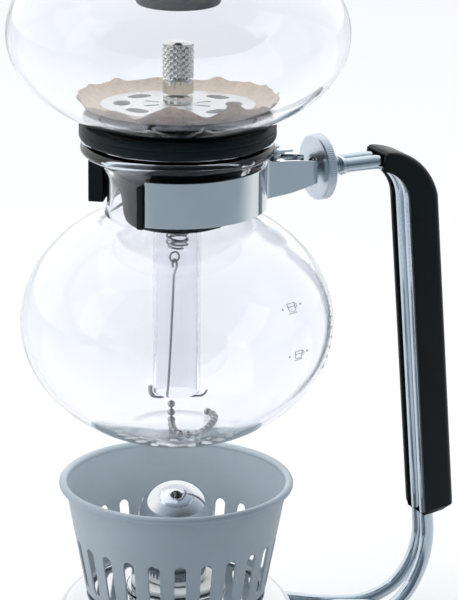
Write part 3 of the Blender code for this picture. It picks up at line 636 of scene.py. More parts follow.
def make_level_marks():
    """Printed level marks: small cups between dots, and a column of plain graduations."""
    bm = bmesh.new()
    line_r = 0.00013
    azimuth = math.radians(-67)
    for level in (0.1412, 0.1254):
        cup = [(-0.0018, 0.0013), (-0.0017, -0.0002), (-0.0011, -0.0012), (0.0011, -0.0012),
               (0.0017, -0.0002),
               (0.0018, 0.0013)]
        ear = [(0.0017, 0.0007), (0.0026, 0.0008), (0.0027, -0.0001), (0.0016, -0.0004)]
        lines = [cup, [(-0.0018, 0.0013), (0.0018, 0.0013)], [(-0.0016, 0.0003), (0.0016, 0.0003)],
                 [(-0.0021, -0.0018), (0.0021, -0.0018)], ear]
        for line in lines:
            route = [on_bulb(azimuth, u, level + v, line_r * 0.6) for u, v in line]
            wire(smooth(route, 4), line_r, 6, bm=bm)
        for side in (-1, 1):
            centre = on_bulb(azimuth, side * 0.0046, level, line_r)
            wire([centre, centre + Vector((0, 0, 0.0005))], 0.00028, 8, bm=bm)
    for i in range(11):
        z = 0.1130 + 0.0036 * i
        half = 0.0019 if i % 5 == 0 else 0.0011
        route = [on_bulb(math.radians(-38), u, z, line_r * 0.6) for u in (-half, 0, half)]
        wire(route, line_r, 6, bm=bm)
    marks = piece("level_marks", bm, body="stand", slot="glass")
    marks.data.materials.clear()
    marks.data.materials.append(MARK_ENAMEL)


# ---- lid, stopper and filter ----
def make_lid():
    """Drum cap with a gripped skirt and a long central socket."""
    crown = rounded([(0, LID_TOP_Z - 0.0005), (0.0280, LID_TOP_Z - 0.0005), (0.0290, LID_TOP_Z),
                     (0.0335, LID_TOP_Z),
                     (0.0362, 0.2955), (0.0370, 0.2930), (0.0402, 0.2857), (0.0420, 0.2842), (LID_R, 0.2822),
                     (LID_R, 0.2728), (0.0421, 0.2720), (0.0402, 0.2720), (0.0395, 0.2728), (0.0395, 0.2811),
                     (0.0340, 0.2811), (0.0340, 0.2940), (0.0147, 0.2940), (0.0147, 0.2440), (0.0147, 0.2402),
                     (0.0143, 0.2380), (0.0137, SOCKET_FOOT_Z), (0.0131, SOCKET_FOOT_Z), (0.0127, 0.2380),
                     (0.0127, 0.2950), (0, 0.2950)], 0.0007, 4)

    def flutes(angle, r, z):
        """Shallow grips round the skirt."""
        if r > LID_R - 0.0003 and 0.2730 < z < 0.2825:
            r -= 0.00035 * max(0.0, math.cos(angle * 60)) ** 2
        return r, z

    piece("lid_shell", lathe(crown, 240, shape=flutes), "lid")


def bowl_underside(r):
    """Height of the upper globe's outer skin at a radius."""
    return BOWL_Z - BOWL_HALF_H * math.sqrt(1 - (r / BOWL_R) ** 2)


def make_gasket():
    """Stopper: cupped flange with a fine bead, over a tapered plug."""
    cup = [(0.0116 + 0.0194 * i / 12, bowl_underside(0.0116 + 0.0194 * i / 12) - 0.0005) for i in range(13)]
    rim = rounded([(0.0310, bowl_underside(0.0310) - 0.0005), (0.0328, 0.1967), (GASKET_R, 0.1955),
                   (GASKET_R, 0.1948), (GASKET_R - 0.0004, 0.1944), (GASKET_R, 0.1940), (GASKET_R, 0.1920),
                   (GASKET_R - 0.0008, 0.1910), (0.0224, 0.1910), (0.0217, 0.1895), (0.0214, 0.1845),
                   (0.0176, 0.1617), (0.0168, PLUG_FOOT_Z), (0.0086, PLUG_FOOT_Z), (0.0086, 0.1892),
                   (0.0096, 0.1906)],
                  0.0005, 4)
    piece("stopper", lathe(cup + rim), "gasket")


def make_base_plate():
    """Pierced metal plate under the paper, on a short boss."""
    profile = [(BORE_R, 0.1935), (0.0055, 0.1935), (0.0055, 0.1978), (0.0180, 0.1978), (0.0180, 0.1994),
               (BORE_R, 0.1994)]
    holes = bmesh.new()
    for ring_r, count in ((0.0090, 8), (0.0145, 14)):
        for i in range(count):
            turn = Matrix.Rotation(2 * math.pi * i / count, 4, "Z") @ Matrix.Translation((ring_r, 0, 0))
            prism(circle((0, 0), 0.0014, 24), 0.1970, 0.2000, turn, holes)
    piece("filter_base", combined(lathe(profile, 96), [("DIFFERENCE", holes)]), "filter_base_plate",
          bevel=0.00015,
          place=FILTER_FRAME)


def paper_edge(angle):
    """How far the paper's crimped edge rises and spreads at an azimuth."""
    waves = ((0.0005, 11, 0.7), (0.0004, 17, 2.1), (0.0002, 29, 0.0))
    rise = sum(height * math.sin(count * angle + shift) for height, count, shift in waves)
    rise -= 0.0009 * (1 - math.cos(angle - math.radians(63))) ** 2 / 2
    for azimuth, width, height in ((-117, 11, 0.0042), (-82, 9, 0.0040), (-150, 8, 0.0006), (64, 8, 0.0007),
                                   (120, 7, 0.0006), (20, 8, 0.0006)):
        away = (math.degrees(angle) - azimuth + 180) % 360 - 180
        rise += height * math.exp(-(away / width) ** 2)
    return rise


def make_paper_filter():
    """Paper disc pressed flat in the middle, its edge crimped up against the bowl."""
    bm = bmesh.new()
    turns, thick = 240, 0.00028
    levels = [0.0] * 4 + [i / 12 for i in range(1, 13)]
    flat = [0.0023, 0.0120, 0.0200, 0.0264]
    sheets = []
    for lift in (0.0, thick):
        rings = []
        for k, share in enumerate(levels):
            ring = []
            for i in range(turns):
                angle = 2 * math.pi * i / turns
                edge = paper_edge(angle)
                crimp = 0.00035 * math.sin(37 * angle + 3 * math.sin(3 * angle)) * share
                reach = 0.0079 - 0.30 * max(0.0, edge)
                r = flat[k] if k < 4 else 0.0264 + reach * math.sin(share * 1.25) / math.sin(1.25)
                z = 0.19985 + (0.0052 + edge) * share ** 1.5
                ring.append(bm.verts.new(around(r + crimp, angle, z + lift)))
            rings.append(ring)
        sheets.append(rings)
    join(bm, sheets[0])
    for low, high in zip(sheets[1], sheets[1][1:]):
        stitch(bm, high, low)
    stitch(bm, sheets[0][-1], sheets[1][-1])
    stitch(bm, sheets[1][0], sheets[0][0])
    piece("paper_sheet", bm, "paper_filter", sharp=60, place=FILTER_FRAME)


def make_top_plate():
    """White plate with eight oval openings near its rim and short radial slots inside."""
    low, high, plate_r = 0.2005, 0.2021, 0.0263
    slots = bmesh.new()
    for i in range(8):
        spoke = Matrix.Rotation(math.radians(18 + 45 * i), 4, "Z")
        outline = []
        for k in range(40):
            a = 2 * math.pi * k / 40
            r = 0.0190 + 0.0029 * math.copysign(abs(math.cos(a)) ** 0.8, math.cos(a))
            turn = 0.0046 / 0.0190 * math.copysign(abs(math.sin(a)) ** 0.8, math.sin(a))
            outline.append((r * math.cos(turn), r * math.sin(turn)))
        prism(outline, low - 0.001, high + 0.001, spoke, slots)
    for i in range(8):
        spoke = Matrix.Rotation(math.radians(40.5 + 45 * i), 4, "Z")
        outline = arc((0.0110, 0), 0.0011, -90, 90, 10) + arc((0.0075, 0), 0.0008, 90, 270, 10)
        prism(outline, low - 0.001, high + 0.001, spoke, slots)
    profile = [(BORE_R, low), (plate_r, low), (plate_r, high), (BORE_R, high)]
    piece("filter_plate", combined(lathe(profile, 128), [("DIFFERENCE", slots)]), "filter_top_plate",
          bevel=0.00022,
          place=FILTER_FRAME)


def make_filter_stack():
    """Collar, knurled nut and the rod they sit on."""
    collar = rounded([(BORE_R, 0.2024), (0.0050, 0.2024), (0.0050, 0.2050), (0.0046, 0.2052),
                      (BORE_R, 0.2052)], 0.0003)
    hexagon = lathe(collar, 96, shape=lambda a, r,
                    z: (r - (0.0004 if r > 0.0045 else 0) * abs(math.sin(6 * a)), z))
    piece("filter_seat", hexagon, "filter_collar", place=FILTER_FRAME)
    nut_r = radius("filter_nut")
    knurl_low, knurl_high = 0.2113, 0.2232
    profile = [(BORE_R, 0.2056), (0.0036, 0.2055), (0.0039, 0.2058)]
    profile += [(nut_r - 0.0001, 0.2060), (nut_r - 0.0001, 0.2106), (nut_r - 0.0005, 0.2108),
                (nut_r - 0.0005, 0.2110)]
    steps = 60
    profile += [(nut_r, knurl_low + (knurl_high - knurl_low) * i / steps) for i in range(steps + 1)]
    profile += rounded([(0.0036, 0.2238), (0.0030, 0.2240), (0, 0.2240)], 0.0003) + [(0, 0.2180),
                                                                                     (BORE_R, 0.2180)]

    def knurl(angle, r, z):
        """Diamond knurl: two crossing families of grooves."""
        if r < nut_r - 0.00005 or z < knurl_low:
            return r, z
        turn, climb = angle * 6, (z - knurl_low) * 1500
        edge = min(1.0, (z - knurl_low) / 0.0004, (knurl_high - z) / 0.0004)
        peak = min(abs(math.sin(turn + climb)), abs(math.sin(turn - climb)))
        return r - 0.0006 * (1 - peak) * max(0.0, edge), z

    piece("filter_knob", lathe(profile, 200, shape=knurl), "filter_nut", sharp=60, place=FILTER_FRAME)
    rod = rounded([(0, 0.1720), (0.0018, 0.1720), (0.0018, 0.2160), (0, 0.2160)], 0.0004)
    piece("filter_shaft", lathe(rod, 32), "filter_rod", place=FILTER_FRAME)


# ---- spring, link, wire and chain ----
HOOK_SIDE = TIP_AXIS


def make_spring():
    """Tension spring hanging from the rod, its turns close together."""
    upper, lower, turns, steps = 0.1705, 0.1520, 13, 24
    route = []
    for i in range(turns * steps + 1):
        angle, share = 2 * math.pi * i / steps, i / (turns * steps)
        coil_r = 0.0036 * min(1.0, 0.45 + 8 * share, 0.45 + 8 * (1 - share))
        route.append(around(coil_r, angle, upper + (lower - upper) * share))
    piece("pull_spring", wire(route, 0.00038, 8), "filter_spring")


def make_pull():
    """Link ring, the pull wire with its eye, hook and sleeve, and the bead chain."""
    link_z, eye_z, loop_r = 0.1490, 0.1464, 0.0017
    middle = HOOK_SIDE * 0.0009
    ring = [middle + Vector((loop_r * math.cos(a), 0, link_z + loop_r * math.sin(a)))
            for a in (2 * math.pi * i / 32 for i in range(32))]
    piece("link_ring", wire(ring, 0.00035, 10, closed=True), "spring_link")
    eye = [middle + Vector((0, loop_r * math.sin(a), eye_z - loop_r * math.cos(a)))
           for a in (math.radians(40 + 12.5 * i) for i in range(24))]
    tail = [HOOK_SIDE * r + Vector((0, 0, z)) for r, z in
            ((0.0011, 0.1425), (0.0020, 0.1200), (0.0030, 0.1010), (0.0038, 0.0985), (0.0055, 0.0976),
             (0.0078, 0.0980), (0.0090, 0.0996), (0.0091, 0.1020))]
    route = eye + smooth(tail, 8)
    radii = [0.00042] * (len(route) - 20) + [0.00042 + 0.0004 * min(1.0, i / 5) for i in range(20)]
    bar = [HOOK_SIDE * r + Vector((0, 0, z)) for r, z in
           ((0.0046, 0.0979), (0.0, 0.0980), (-0.0070, 0.0982), (-0.0094, 0.0988), (-0.0106, 0.1006))]
    piece("pull_rod", wire(smooth(bar, 6), 0.00038, 10, bm=wire(route, radii, 10)), "pull_wire")
    make_bead_chain()


def make_bead_chain():
    """Round beads on a thin link wire, hanging from the hook and then lying on the bulb's floor."""
    bead_r, link_r, pitch = 0.00138, 0.00040, 0.0031
    places = [(-1.6, 1.0, 96.6), (-1.6, 0.8, 93.2), (-2.9, -2.0, 90.0), (-5.1, -7.5, 89.3),
              (-5.6, -12.8, 89.3),
              (-3.2, -15.8, 89.3), (0.3, -16.2, 89.3), (4.6, -13.8, 89.3), (9.6, -8.8, 89.3),
              (13.0, -3.8, 89.3), (13.6, 1.2, 89.3), (11.6, 4.8, 89.3)]
    dense = smooth([Vector(p) / 1000 for p in places], 24)
    travelled = [0.0]
    for a, b in zip(dense, dense[1:]):
        travelled.append(travelled[-1] + (b - a).length)
    beads = int(travelled[-1] / pitch)
    offsets = [-math.cos(math.pi * i / 10) for i in range(11)]
    route, radii = [], []
    for bead in range(beads):
        for offset in offsets:
            route.append(point_at(dense, travelled, (bead + 0.5) * pitch + offset * bead_r))
            radii.append(max(link_r, bead_r * math.sqrt(max(0.0, 1 - offset ** 2))))
    piece("chain", wire(route, radii, 16), "bead_chain", sharp=50)


def point_at(dense, travelled, distance):
    """The point that far along a dense route."""
    for i in range(len(dense) - 1):
        if travelled[i + 1] >= distance:
            part = (distance - travelled[i]) / (travelled[i + 1] - travelled[i])
            return dense[i].lerp(dense[i + 1], part)
    return dense[-1]


# ---- clamp ----
def ribbon(stations):
    """An upright strip: stations are (inner plan point, outer plan point, low, high)."""
    bm = bmesh.new()
    rings = []
    for inner, outer, low, high in stations:
        corners = ((inner, low), (outer, low), (outer, high), (inner, high))
        rings.append([bm.verts.new((x, y, z)) for (x, y), z in corners])
    join(bm, rings, ends=True)
    return bm


def polar(r, azimuth, side):
    """A plan point on a circle about the vessels' axis, on the left (+1) or the right (-1)."""
    angle = math.radians(azimuth)
    return (r * math.cos(angle), side * r * math.sin(angle))


def pin_hole():
    """The hole for the pivot pin, right through the clamp."""
    return prism(circle((PIVOT_X, 0), 0.0016, 24), 0.1600, 0.1900)


def make_jaw(word, side, lugs):
    """Half-round jaw running into a tapered tongue, with two lugs round the pivot pin."""
    stations = []
    for i in range(61):
        azimuth = JAW_END + (JAW_ROOT - JAW_END) * i / 60
        stations.append((polar(BAND_R - BAND_T, azimuth, side), polar(BAND_R, azimuth, side), BAND_FOOT_Z,
                         BAND_TOP_Z))
    bend = [(0.0297, 0.0068, 45, BAND_FOOT_Z, BAND_TOP_Z), (0.0312, 0.0059, 70, BAND_FOOT_Z, 0.1815),
            (0.0336, 0.0055, 88, 0.1674, 0.1800), (0.0400, 0.0054, 90, 0.1680, 0.1796),
            (0.0460, 0.00525, 90, 0.1691, 0.1789), (TONGUE_END_X, 0.0051, 90, 0.1704, 0.1780)]
    start = (BAND_R - BAND_T / 2) * Vector((math.cos(math.radians(JAW_ROOT)),
                                            math.sin(math.radians(JAW_ROOT))))
    plan = smooth([(start.x, start.y, JAW_ROOT), *[b[:3] for b in bend]], 5)
    heights = smooth([(BAND_FOOT_Z, BAND_TOP_Z), *[b[3:] for b in bend]], 5)
    for (x, y, facing), (low, high) in list(zip(plan, heights))[2:]:
        dx, dy = polar(BAND_T / 2, facing, side)
        stations.append(((x - dx, side * y - dy), (x + dx, side * y + dy), low, high))
    tools = []
    lug_r = 0.0032
    for low, high in lugs:
        outline = [(PIVOT_X + x, side * y) for x, y in arc((0, 0), lug_r, -180, 0, 20)]
        outline += [(PIVOT_X + lug_r, side * 0.0052), (PIVOT_X - lug_r, side * 0.0052)]
        tools.append(("UNION", prism(outline, low, high)))
    tools.append(("DIFFERENCE", pin_hole()))
    name = "clamp_jaw_" + word
    piece("jaw_strip_" + word, combined(ribbon(stations), tools), name, bevel=0.00028)


def make_jaw_pad(word, side):
    """Soft pad inside a jaw, wrapped over the jaw's free end."""
    stations = []
    for i in range(4):
        azimuth = JAW_END + 5 - 4.3 * i / 3
        stations.append((polar(0.0260, azimuth, side), polar(0.0313, azimuth, side), 0.1664, 0.1810))
    for i in range(61):
        azimuth = JAW_END + 0.3 + (24 - JAW_END) * i / 60
        stations.append((polar(0.0252, azimuth, side), polar(0.0288, azimuth, side), 0.1678, 0.1802))
    piece("pad_" + word, ribbon(stations), "jaw_pad_" + word, bevel=0.0004)


def make_clamp_core():
    """Threaded stud with an eye for the pivot pin, the pin, its spring and the disc nut."""
    along_x = Matrix.Translation((0, 0, ARM_Z)) @ Matrix.Rotation(math.pi / 2, 4, "Y")
    thread = [(0, 0.0517), (STUD_R, 0.0517), (STUD_R, 0.0578)]
    for i in range(4):
        x = 0.0580 + 0.0009 * i
        thread += rounded([(0.0028, x), (STUD_R + 0.0001, x + 0.0002), (STUD_R + 0.0001, x + 0.0004),
                           (0.0027, x + 0.0006)],
                          0.00015, 3)
    thread += [(STUD_R, 0.0616), (0, 0.0616)]
    bar = [(PIVOT_X, -0.0015), (0.0522, -0.0015), (0.0522, 0.0015), (PIVOT_X, 0.0015)]
    eye = circle((PIVOT_X, 0), 0.0033, 60)
    face = arc((0, ROD_Y), ROD_R + 0.0006, 0, 180, 24) + arc((0, -ROD_Y), ROD_R + 0.0006, 180, 360, 24)
    tools = [("UNION", prism(bar, ARM_Z - 0.0015, ARM_Z + 0.0015)),
             ("UNION", prism(eye, ARM_Z - 0.0015, ARM_Z + 0.0015)),
             ("UNION", prism(face, 0.0614, 0.0625, along_x)),
             ("DIFFERENCE", pin_hole())]
    piece("stud", combined(lathe(thread, 48, along_x), tools), "clamp_stud", bevel=0.00012)
    pin = rounded([(0, 0.1688), (0.0020, 0.1690), (0.0022, 0.1696), (0.0012, 0.1696), (0.0012, 0.1832),
                   (0.0022, 0.1834), (0.0022, 0.1840), (0.0012, 0.1847), (0, 0.1849)], 0.0003)
    piece("pivot_pin", lathe(pin, 40, Matrix.Translation((PIVOT_X, 0, 0))), "clamp_pivot_pin")
    make_disc_nut(along_x)
    make_clamp_spring()


def make_disc_nut(along_x):
    """Thin disc nut with a finely knurled edge and a short boss."""
    thick = 0.0038
    steps = 6
    edge = [(NUT_R, 0.0005 + (thick - 0.0010) * i / steps) for i in range(steps + 1)]
    profile = rounded([(0.0036, 0), (0.0100, 0), (0.0108, 0.0001), (NUT_R - 0.0001, 0.0004)], 0.0003)
    profile += edge + rounded([(NUT_R - 0.0001, thick - 0.0004), (0.0108, thick - 0.0001), (0.0100, thick),
                               (0.0054, thick), (0.0050, thick + 0.0013), (0.0036, thick + 0.0014)], 0.0003)

    def knurl(angle, r, z):
        """Fine straight ribs across the edge."""
        return (r - 0.00016 * (0.5 - 0.5 * math.cos(angle * 96)) if r > NUT_R - 0.00005 else r), z

    placed = along_x @ Matrix.Translation((0, 0, NUT_LOW.x))
    piece("nut_disc", lathe(profile, 384, placed, shape=knurl), "disc_nut", sharp=60)


def make_clamp_spring():
    """Torsion spring round the pivot pin, with a leg towards each tongue."""
    steps, turns, coil_r, wire_r, foot_z = 24, 2, 0.0023, 0.0004, 0.1801
    route = [Vector((0.0425, 0.0032, foot_z)), Vector((0.0400, 0.0028, foot_z))]
    for i in range(turns * steps + 13):
        angle = math.radians(90) + 2 * math.pi * i / steps
        z = foot_z + 0.0009 * i / steps
        route.append(Vector((PIVOT_X + coil_r * math.cos(angle), coil_r * math.sin(angle), z)))
    route += [Vector((0.0400, -0.0028, route[-1].z)), Vector((0.0425, -0.0032, route[-1].z))]
    piece("torsion_spring", wire(route, wire_r, 8), "clamp_spring")


# ---- stand ----
def lean_down(spine, length, steps):
    """Carry the stand's side view on down its slope, by a drop in height."""
    x, z = spine[-1]
    for i in range(1, steps + 1):
        drop = length * i / steps
        spine.append((x + drop * math.tan(LEAN), z - drop))


def rod_route(side):
    """Centreline of one rod, from the stud's flange round to its leg's end."""
    spine = [(ROD_START_X + 0.0008 * i, ARM_Z) for i in range(14)]
    spine += arc((BEND_X, ARM_Z - BEND_R), BEND_R, 90, math.degrees(LEAN), 28)
    lean_down(spine, spine[-1][1] - 0.0400, 24)
    route = [Vector((px, side * ROD_Y, pz)) for px, pz in spine]
    turn = [(99.95, 2.9, 40.0), (100.4, 2.95, 30.5), (98.2, 3.4, 20.8), (93.0, 4.4, 12.4), (85.7, 6.2, 7.2),
            (77.0, 9.2, 4.7), (66.0, 15.2, 4.3), (54.0, 25.4, 4.3), (42.0, 36.2, 4.3), (29.0, 43.6, 4.3),
            (14.0, 46.8, 4.3), (0.0, 47.2, 4.3)]
    route += smooth([Vector((px, side * py, pz)) / 1000 for px, py, pz in turn], 8)[1:]
    return route + [Vector((LEG_END_X * i / 8, side * LEG_Y, BASE_Z)) for i in range(1, 9)]


def make_rod(word, side):
    """One of the twin chromed rods."""
    route = rod_route(side)
    piece("rod_" + word, wire(route, ROD_R, 32), "stand_rod_" + word)


def make_grip():
    """Moulded channel that hugs the rods from outside, its ends and corners rounded."""
    spine = arc((BEND_X, ARM_Z - BEND_R), BEND_R, 80, math.degrees(LEAN), 28)
    lean_down(spine, 0.1195, 60)
    wall, lip, floor = 0.0075, -0.0026, ROD_R + 0.0004
    cavity = ROD_Y + ROD_R + 0.0004
    travelled = [0.0]
    for (ax, az), (bx, bz) in zip(spine, spine[1:]):
        travelled.append(travelled[-1] + math.hypot(bx - ax, bz - az))
    bm = bmesh.new()
    rings = []
    for i, (px, pz) in enumerate(spine):
        before, after = Vector(spine[max(i - 1, 0)]), Vector(spine[min(i + 1, len(spine) - 1)])
        ahead = (after - before).normalized()
        out = Vector((-ahead.y, ahead.x))
        crown = min(0.0040 + 0.0057 * travelled[i] / 0.021, 0.0097)
        to_end = min(1.0, (travelled[-1] - travelled[i]) / 0.0026)
        to_start = min(1.0, travelled[i] / 0.0014)
        shrink = 0.0024 * (1 - math.sqrt(max(0.0, 1 - (1 - to_end) ** 2)))
        shrink += 0.0010 * (1 - math.sqrt(max(0.0, 1 - (1 - to_start) ** 2)))
        crown, side = crown - shrink, wall - shrink * 0.8
        corner = min(0.0030, crown - floor - 0.0004)
        outside = [(lip, -side + 0.0003), (lip + 0.0003, -side)]
        outside += arc((crown - corner, -side + corner), corner, 270, 360, 8)
        outside += arc((crown - corner, side - corner), corner, 0, 90, 8)
        outside += [(lip + 0.0003, side), (lip, side - 0.0003)]
        inside = [(lip, cavity + 0.0003), (lip + 0.0003, cavity), (floor, cavity), (floor, -cavity),
                  (lip + 0.0003, -cavity), (lip, -cavity - 0.0003)]
        rings.append([bm.verts.new((px + out.x * n, y, pz + out.y * n)) for n, y in outside + inside])
    join(bm, rings, ends=True)
    piece("grip_shell", bm, "grip")


def make_base_bridge():
    """Flat plate between the rods, hollowed at its end to locate the lamp."""
    side = [(0.0830, 0.0), (0.0830, 0.0037), (0.0770, 0.0059), (0.0700, 0.0095), (0.0440, 0.0098),
            (0.0424, 0.0090)]
    outline = rounded([(x, -y) for x, y in reversed(side)] + side[1:], 0.0012, 6)
    outline += arc((0, 0), 0.0432, 11, -11, 24)
    piece("bridge_plate", prism(outline, foot("base_bridge"), top("base_bridge")), "base_bridge",
          bevel=0.0003)


def make_foot(node, blind):
    """Rubber foot: a round-topped block sleeved over a rod."""
    low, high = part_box(node)
    side = 1 if low.y > 0 else -1
    centre = Vector(((low.x + high.x) / 2, (low.y + high.y) / 2, BASE_Z))
    half, length = 0.0046, 0.0130 if blind else 0.0080
    heading = 0.0 if blind else math.atan2(side * 10.8, -12.0)
    section = rounded([(0, -BASE_Z), (half, -BASE_Z), (half, 0)], 0.0008, 4)[1:-1]
    section += arc((0, 0), half, 0, 180, 28)
    section += rounded([(-half, 0), (-half, -BASE_Z), (0, -BASE_Z)], 0.0008, 4)[1:]
    placed = (Matrix.Translation(centre) @ Matrix.Rotation(heading, 4, "Z")
              @ Matrix.Rotation(math.pi / 2, 4, "Y") @ Matrix.Rotation(math.pi / 2, 4, "Z"))
    start = -length / 2 + (0.0025 if blind else -0.001)
    hole = prism(circle((0, 0), ROD_R + 0.0003, 36), start, length, placed)
    body = prism(section, -length / 2, length / 2, placed)
    piece(node + "_boot", combined(body, [("DIFFERENCE", hole)]), node, bevel=0.0006)


# ---- lamp ----
def make_tank():
    """Round-shouldered fuel tank with a rolled foot seam and a filler hole in its flat top."""
    wall, shoulder = 0.0009, 0.0120
    centre = (TANK_R - shoulder, TANK_TOP_Z - shoulder)
    outer = [(0, 0.0004), (0.0300, 0.0004)] + rounded([(0.0310, 0.0), (0.0385, 0.0), (0.0411, 0.0014),
                                                       (0.0414, 0.0032),
                                                       (0.0412, 0.0036), (TANK_R, 0.0042), (TANK_R, 0.0150)],
                                                       0.0009, 5)
    outer += arc(centre, shoulder, 0, 90, 40)
    hole = rounded([(0.0130, TANK_TOP_Z), (0.0110, TANK_TOP_Z), (0.0110, TANK_TOP_Z - wall),
                    (0.0130, TANK_TOP_Z - wall)],
                   0.0003, 3)
    inner = arc(centre, shoulder - wall, 90, 0, 40) + [(TANK_R - wall, 0.0050), (0.0398, 0.0020),
                                                       (0.0366, 0.0013), (0, 0.0013)]
    piece("tank_shell", lathe(outer + hole + inner, 160), "lamp_tank")
    collar = rounded([(0.0095, 0.0240), (0.0107, 0.0240), (0.0107, 0.0276), (0.0175, 0.0276),
                      (0.0175, 0.0286),
                      (0.0171, 0.0288), (0.0095, 0.0288), (0.0095, 0.0240)], 0.0003, 3)
    piece("filler_ring", lathe(collar[:-1], 96), "filler_collar")


def make_burner():
    """Ceramic wick holder, the braided wick in it and the snuffer cap over both."""
    holder = rounded([(0.0043, 0.0180), (0.0056, 0.0180), (0.0056, 0.0250), (0.0091, 0.0250),
                      (0.0091, 0.0291),
                      (0.0155, 0.0291), (0.0155, 0.0304), (0.0149, 0.0310), (0.0066, 0.0310),
                      (0.0056, 0.0318),
                      (0.0056, 0.0490), (0.0043, 0.0490), (0.0043, 0.0180)], 0.0005, 4)
    piece("wick_tube", lathe(holder[:-1], 96), "wick_holder")
    wick_r, wick_low, wick_high = 0.0039, 0.0045, 0.0535
    steps = 160
    profile = [(0, wick_low), (0.0030, wick_low)]
    profile += [(wick_r, wick_low + (wick_high - wick_low - 0.0008) * i / steps) for i in range(steps + 1)]
    profile += [(0.0032, wick_high - 0.0002), (0.0018, wick_high), (0, wick_high - 0.0003)]

    def braid(angle, r, z):
        """Crossing strands of yarn."""
        if r < wick_r - 1e-6:
            return r, z
        turn, climb = angle * 4, (z - wick_low) * 1100
        over = max(abs(math.sin(turn + climb)), abs(math.sin(turn - climb)))
        return r - 0.0006 * (1 - over ** 2) * 1.5, z

    piece("wick_braid", lathe(profile, 96, shape=braid), "wick", sharp=80)
    make_snuffer()


def make_snuffer():
    """Domed cap on a plain skirt."""
    wall, dome_z, dome_r = 0.0008, 0.0534, radius("snuffer_cap")
    skirt_r, low = 0.0107, foot("snuffer_cap")
    skirt = rounded([(skirt_r - wall, low), (skirt_r - wall / 2, low), (skirt_r, low + 0.0003),
                     (skirt_r, 0.0495),
                     (0.0118, 0.0511), (0.0131, 0.0519), (dome_r, 0.0530)], 0.0006, 4)
    dome = arc((0, dome_z), dome_r, 0, 89, 40) + [(0, dome_z + dome_r)]
    hollow = [(0, dome_z + dome_r - wall)] + arc((0, dome_z), dome_r - wall, 89, 0, 40)
    step = rounded([(0.0123, 0.0526), (0.0112, 0.0516), (skirt_r - wall, 0.0500),
                    (skirt_r - wall, low + 0.001)], 0.0006, 4)
    piece("snuffer_dome", lathe(skirt + dome + hollow + step, 128), "snuffer_cap")


def make_windshield():
    """Spun shield: flared slotted wall, curled rim and an inward foot."""
    bead, wall = 0.0008, 0.0006
    foot_r = 0.0316
    top_r, top_z = SHIELD_RIM_R - bead, SHIELD_RIM_Z - bead
    cell_low, cell_high = SLOT_LOW - 0.0017, SLOT_HIGH + 0.0022
    per_cell = 8
    pitch = 2 * math.pi / SLOTS

    def skin(angle, z):
        """A point on the flared outer wall."""
        share = (z - SHIELD_FOOT_Z) / (top_z - SHIELD_FOOT_Z)
        r = foot_r + (top_r - bead * 0.8 - foot_r) * share
        return around(r, angle, z)

    bm = bmesh.new()
    for cell in range(SLOTS):
        middle = SLOT_PHASE + pitch * cell
        cell_rings(bm, middle, pitch, cell_low, cell_high, per_cell, skin)
    columns = [SLOT_PHASE - pitch / 2 + pitch * i / per_cell for i in range(SLOTS * per_cell)]
    heights = [cell_high + (top_z - 0.0008 - cell_high) * i / 12 for i in range(13)]
    rows = [[bm.verts.new(skin(a, z)) for a in columns] for z in heights]
    curl = arc((top_r, top_z), bead, 200, -70, 20)
    rows += [[bm.verts.new(around(r, a, z)) for a in columns] for r, z in curl]
    join(bm, rows)
    under = rounded([(foot_r + 0.00025, cell_low), (foot_r, SHIELD_FOOT_Z + wall * 0.5),
                     (0.0295, SHIELD_FOOT_Z + wall * 0.5)],
                    0.0006, 5)
    start = skin(0, cell_low).x
    base = [[bm.verts.new(around(r, a, z)) for a in columns]
            for r, z in [(start, cell_low)] + under[1:]]
    for high, low in zip(base, base[1:]):
        stitch(bm, low, high)
    bmesh.ops.remove_doubles(bm, verts=bm.verts, dist=2e-6)
    bmesh.ops.recalc_face_normals(bm, faces=bm.faces)
    shield = piece("shield_wall", bm, "windshield", sharp=50)
    thick = shield.modifiers.new("sheet", "SOLIDIFY")
    thick.thickness = wall
    thick.offset = -1.0 if outward(shield) else 1.0


def outward(made):
    """True if the lowest wall faces point away from the axis."""
    faces = [f for f in made.data.polygons if abs(f.normal.z) < 0.5]
    return sum(Vector((f.center.x, f.center.y)).dot(Vector((f.normal.x, f.normal.y))) for f in faces) > 0


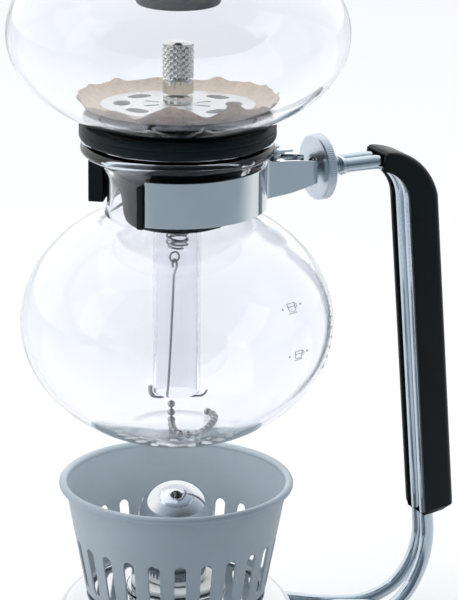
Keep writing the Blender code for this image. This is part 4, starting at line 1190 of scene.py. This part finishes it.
def cell_rings(bm, middle, pitch, low, high, per_cell, skin):
    """The wall round one slot: quads from the slot's edge out to its share of the wall."""
    cap, side_steps = per_cell + 4, 10
    r_mid = 0.0345
    half = SLOT_HALF / r_mid
    z_top, z_low = SLOT_HIGH - SLOT_HALF, SLOT_LOW + SLOT_HALF
    slot, frame_edge = [], []
    for start, side, here, edge, there in ((0, 1, z_top, high, z_low), (math.pi, -1, z_low, low, z_top)):
        for i in range(cap + 1):
            a = start + math.pi * i / cap
            slot.append((half * math.cos(a), here + SLOT_HALF * math.sin(a)))
        frame_edge += [(side * pitch / 2, here + (edge - here) * i / 2) for i in range(2)]
        frame_edge += [(side * (pitch / 2 - pitch * i / per_cell), edge) for i in range(per_cell + 1)]
        frame_edge += [(-side * pitch / 2, edge + (here - edge) * i / 2) for i in range(1, 3)]
        for i in range(1, side_steps):
            z = here + (there - here) * i / side_steps
            slot.append((-side * half, z))
            frame_edge.append((-side * pitch / 2, z))
    rings = []
    for share in (0.0, 0.12, 0.45, 1.0):
        ring = [(a + (b - a) * share, c + (d - c) * share) for (a, c), (b, d) in zip(slot, frame_edge)]
        rings.append([bm.verts.new(skin(middle + angle, z)) for angle, z in ring])
    join(bm, rings)


def main():
    """Build the camera, the studio and every fine piece."""
    scene = bpy.context.scene
    scene.view_settings.view_transform = "Standard"
    make_camera()
    make_floor()
    make_world()
    aim = (0, 0, 0.15)
    make_light("overhead", (-0.25, 0.25, 1.35), aim, (1.3, 1.3), 3.5)
    make_light("left_box", (-1.2, 0.1, 0.75), aim, (0.5, 1.1), 1.6)
    make_light("right_box", (1.05, -0.75, 0.60), aim, (0.8, 1.2), 1.6)
    make_light("bowl_fill", (0, 0, 0.2345), (0, 0, 0.19), (0.07, 0.07), 0.012, True)
    make_light("lamp_fill", (0, 0, 0.0845), (0, 0, 0.03), (0.07, 0.07), 0.030, True)
    for make in (make_bulb, make_bowl, make_level_marks, make_lid, make_gasket, make_base_plate,
                 make_paper_filter, make_top_plate, make_filter_stack, make_spring, make_pull):
        make()
    make_jaw("left", 1, ((0.1764, 0.1777), (0.1715, 0.1728)))
    make_jaw("right", -1, ((0.1780, 0.1793), (0.1699, 0.1712)))
    for word, side in (("left", 1), ("right", -1)):
        make_jaw_pad(word, side)
        make_rod(word, side)
        make_foot("front_foot_" + word, True)
        make_foot("rear_foot_" + word, False)
    for make in (make_clamp_core, make_grip, make_base_bridge, make_tank, make_burner, make_windshield):
        make()


main()
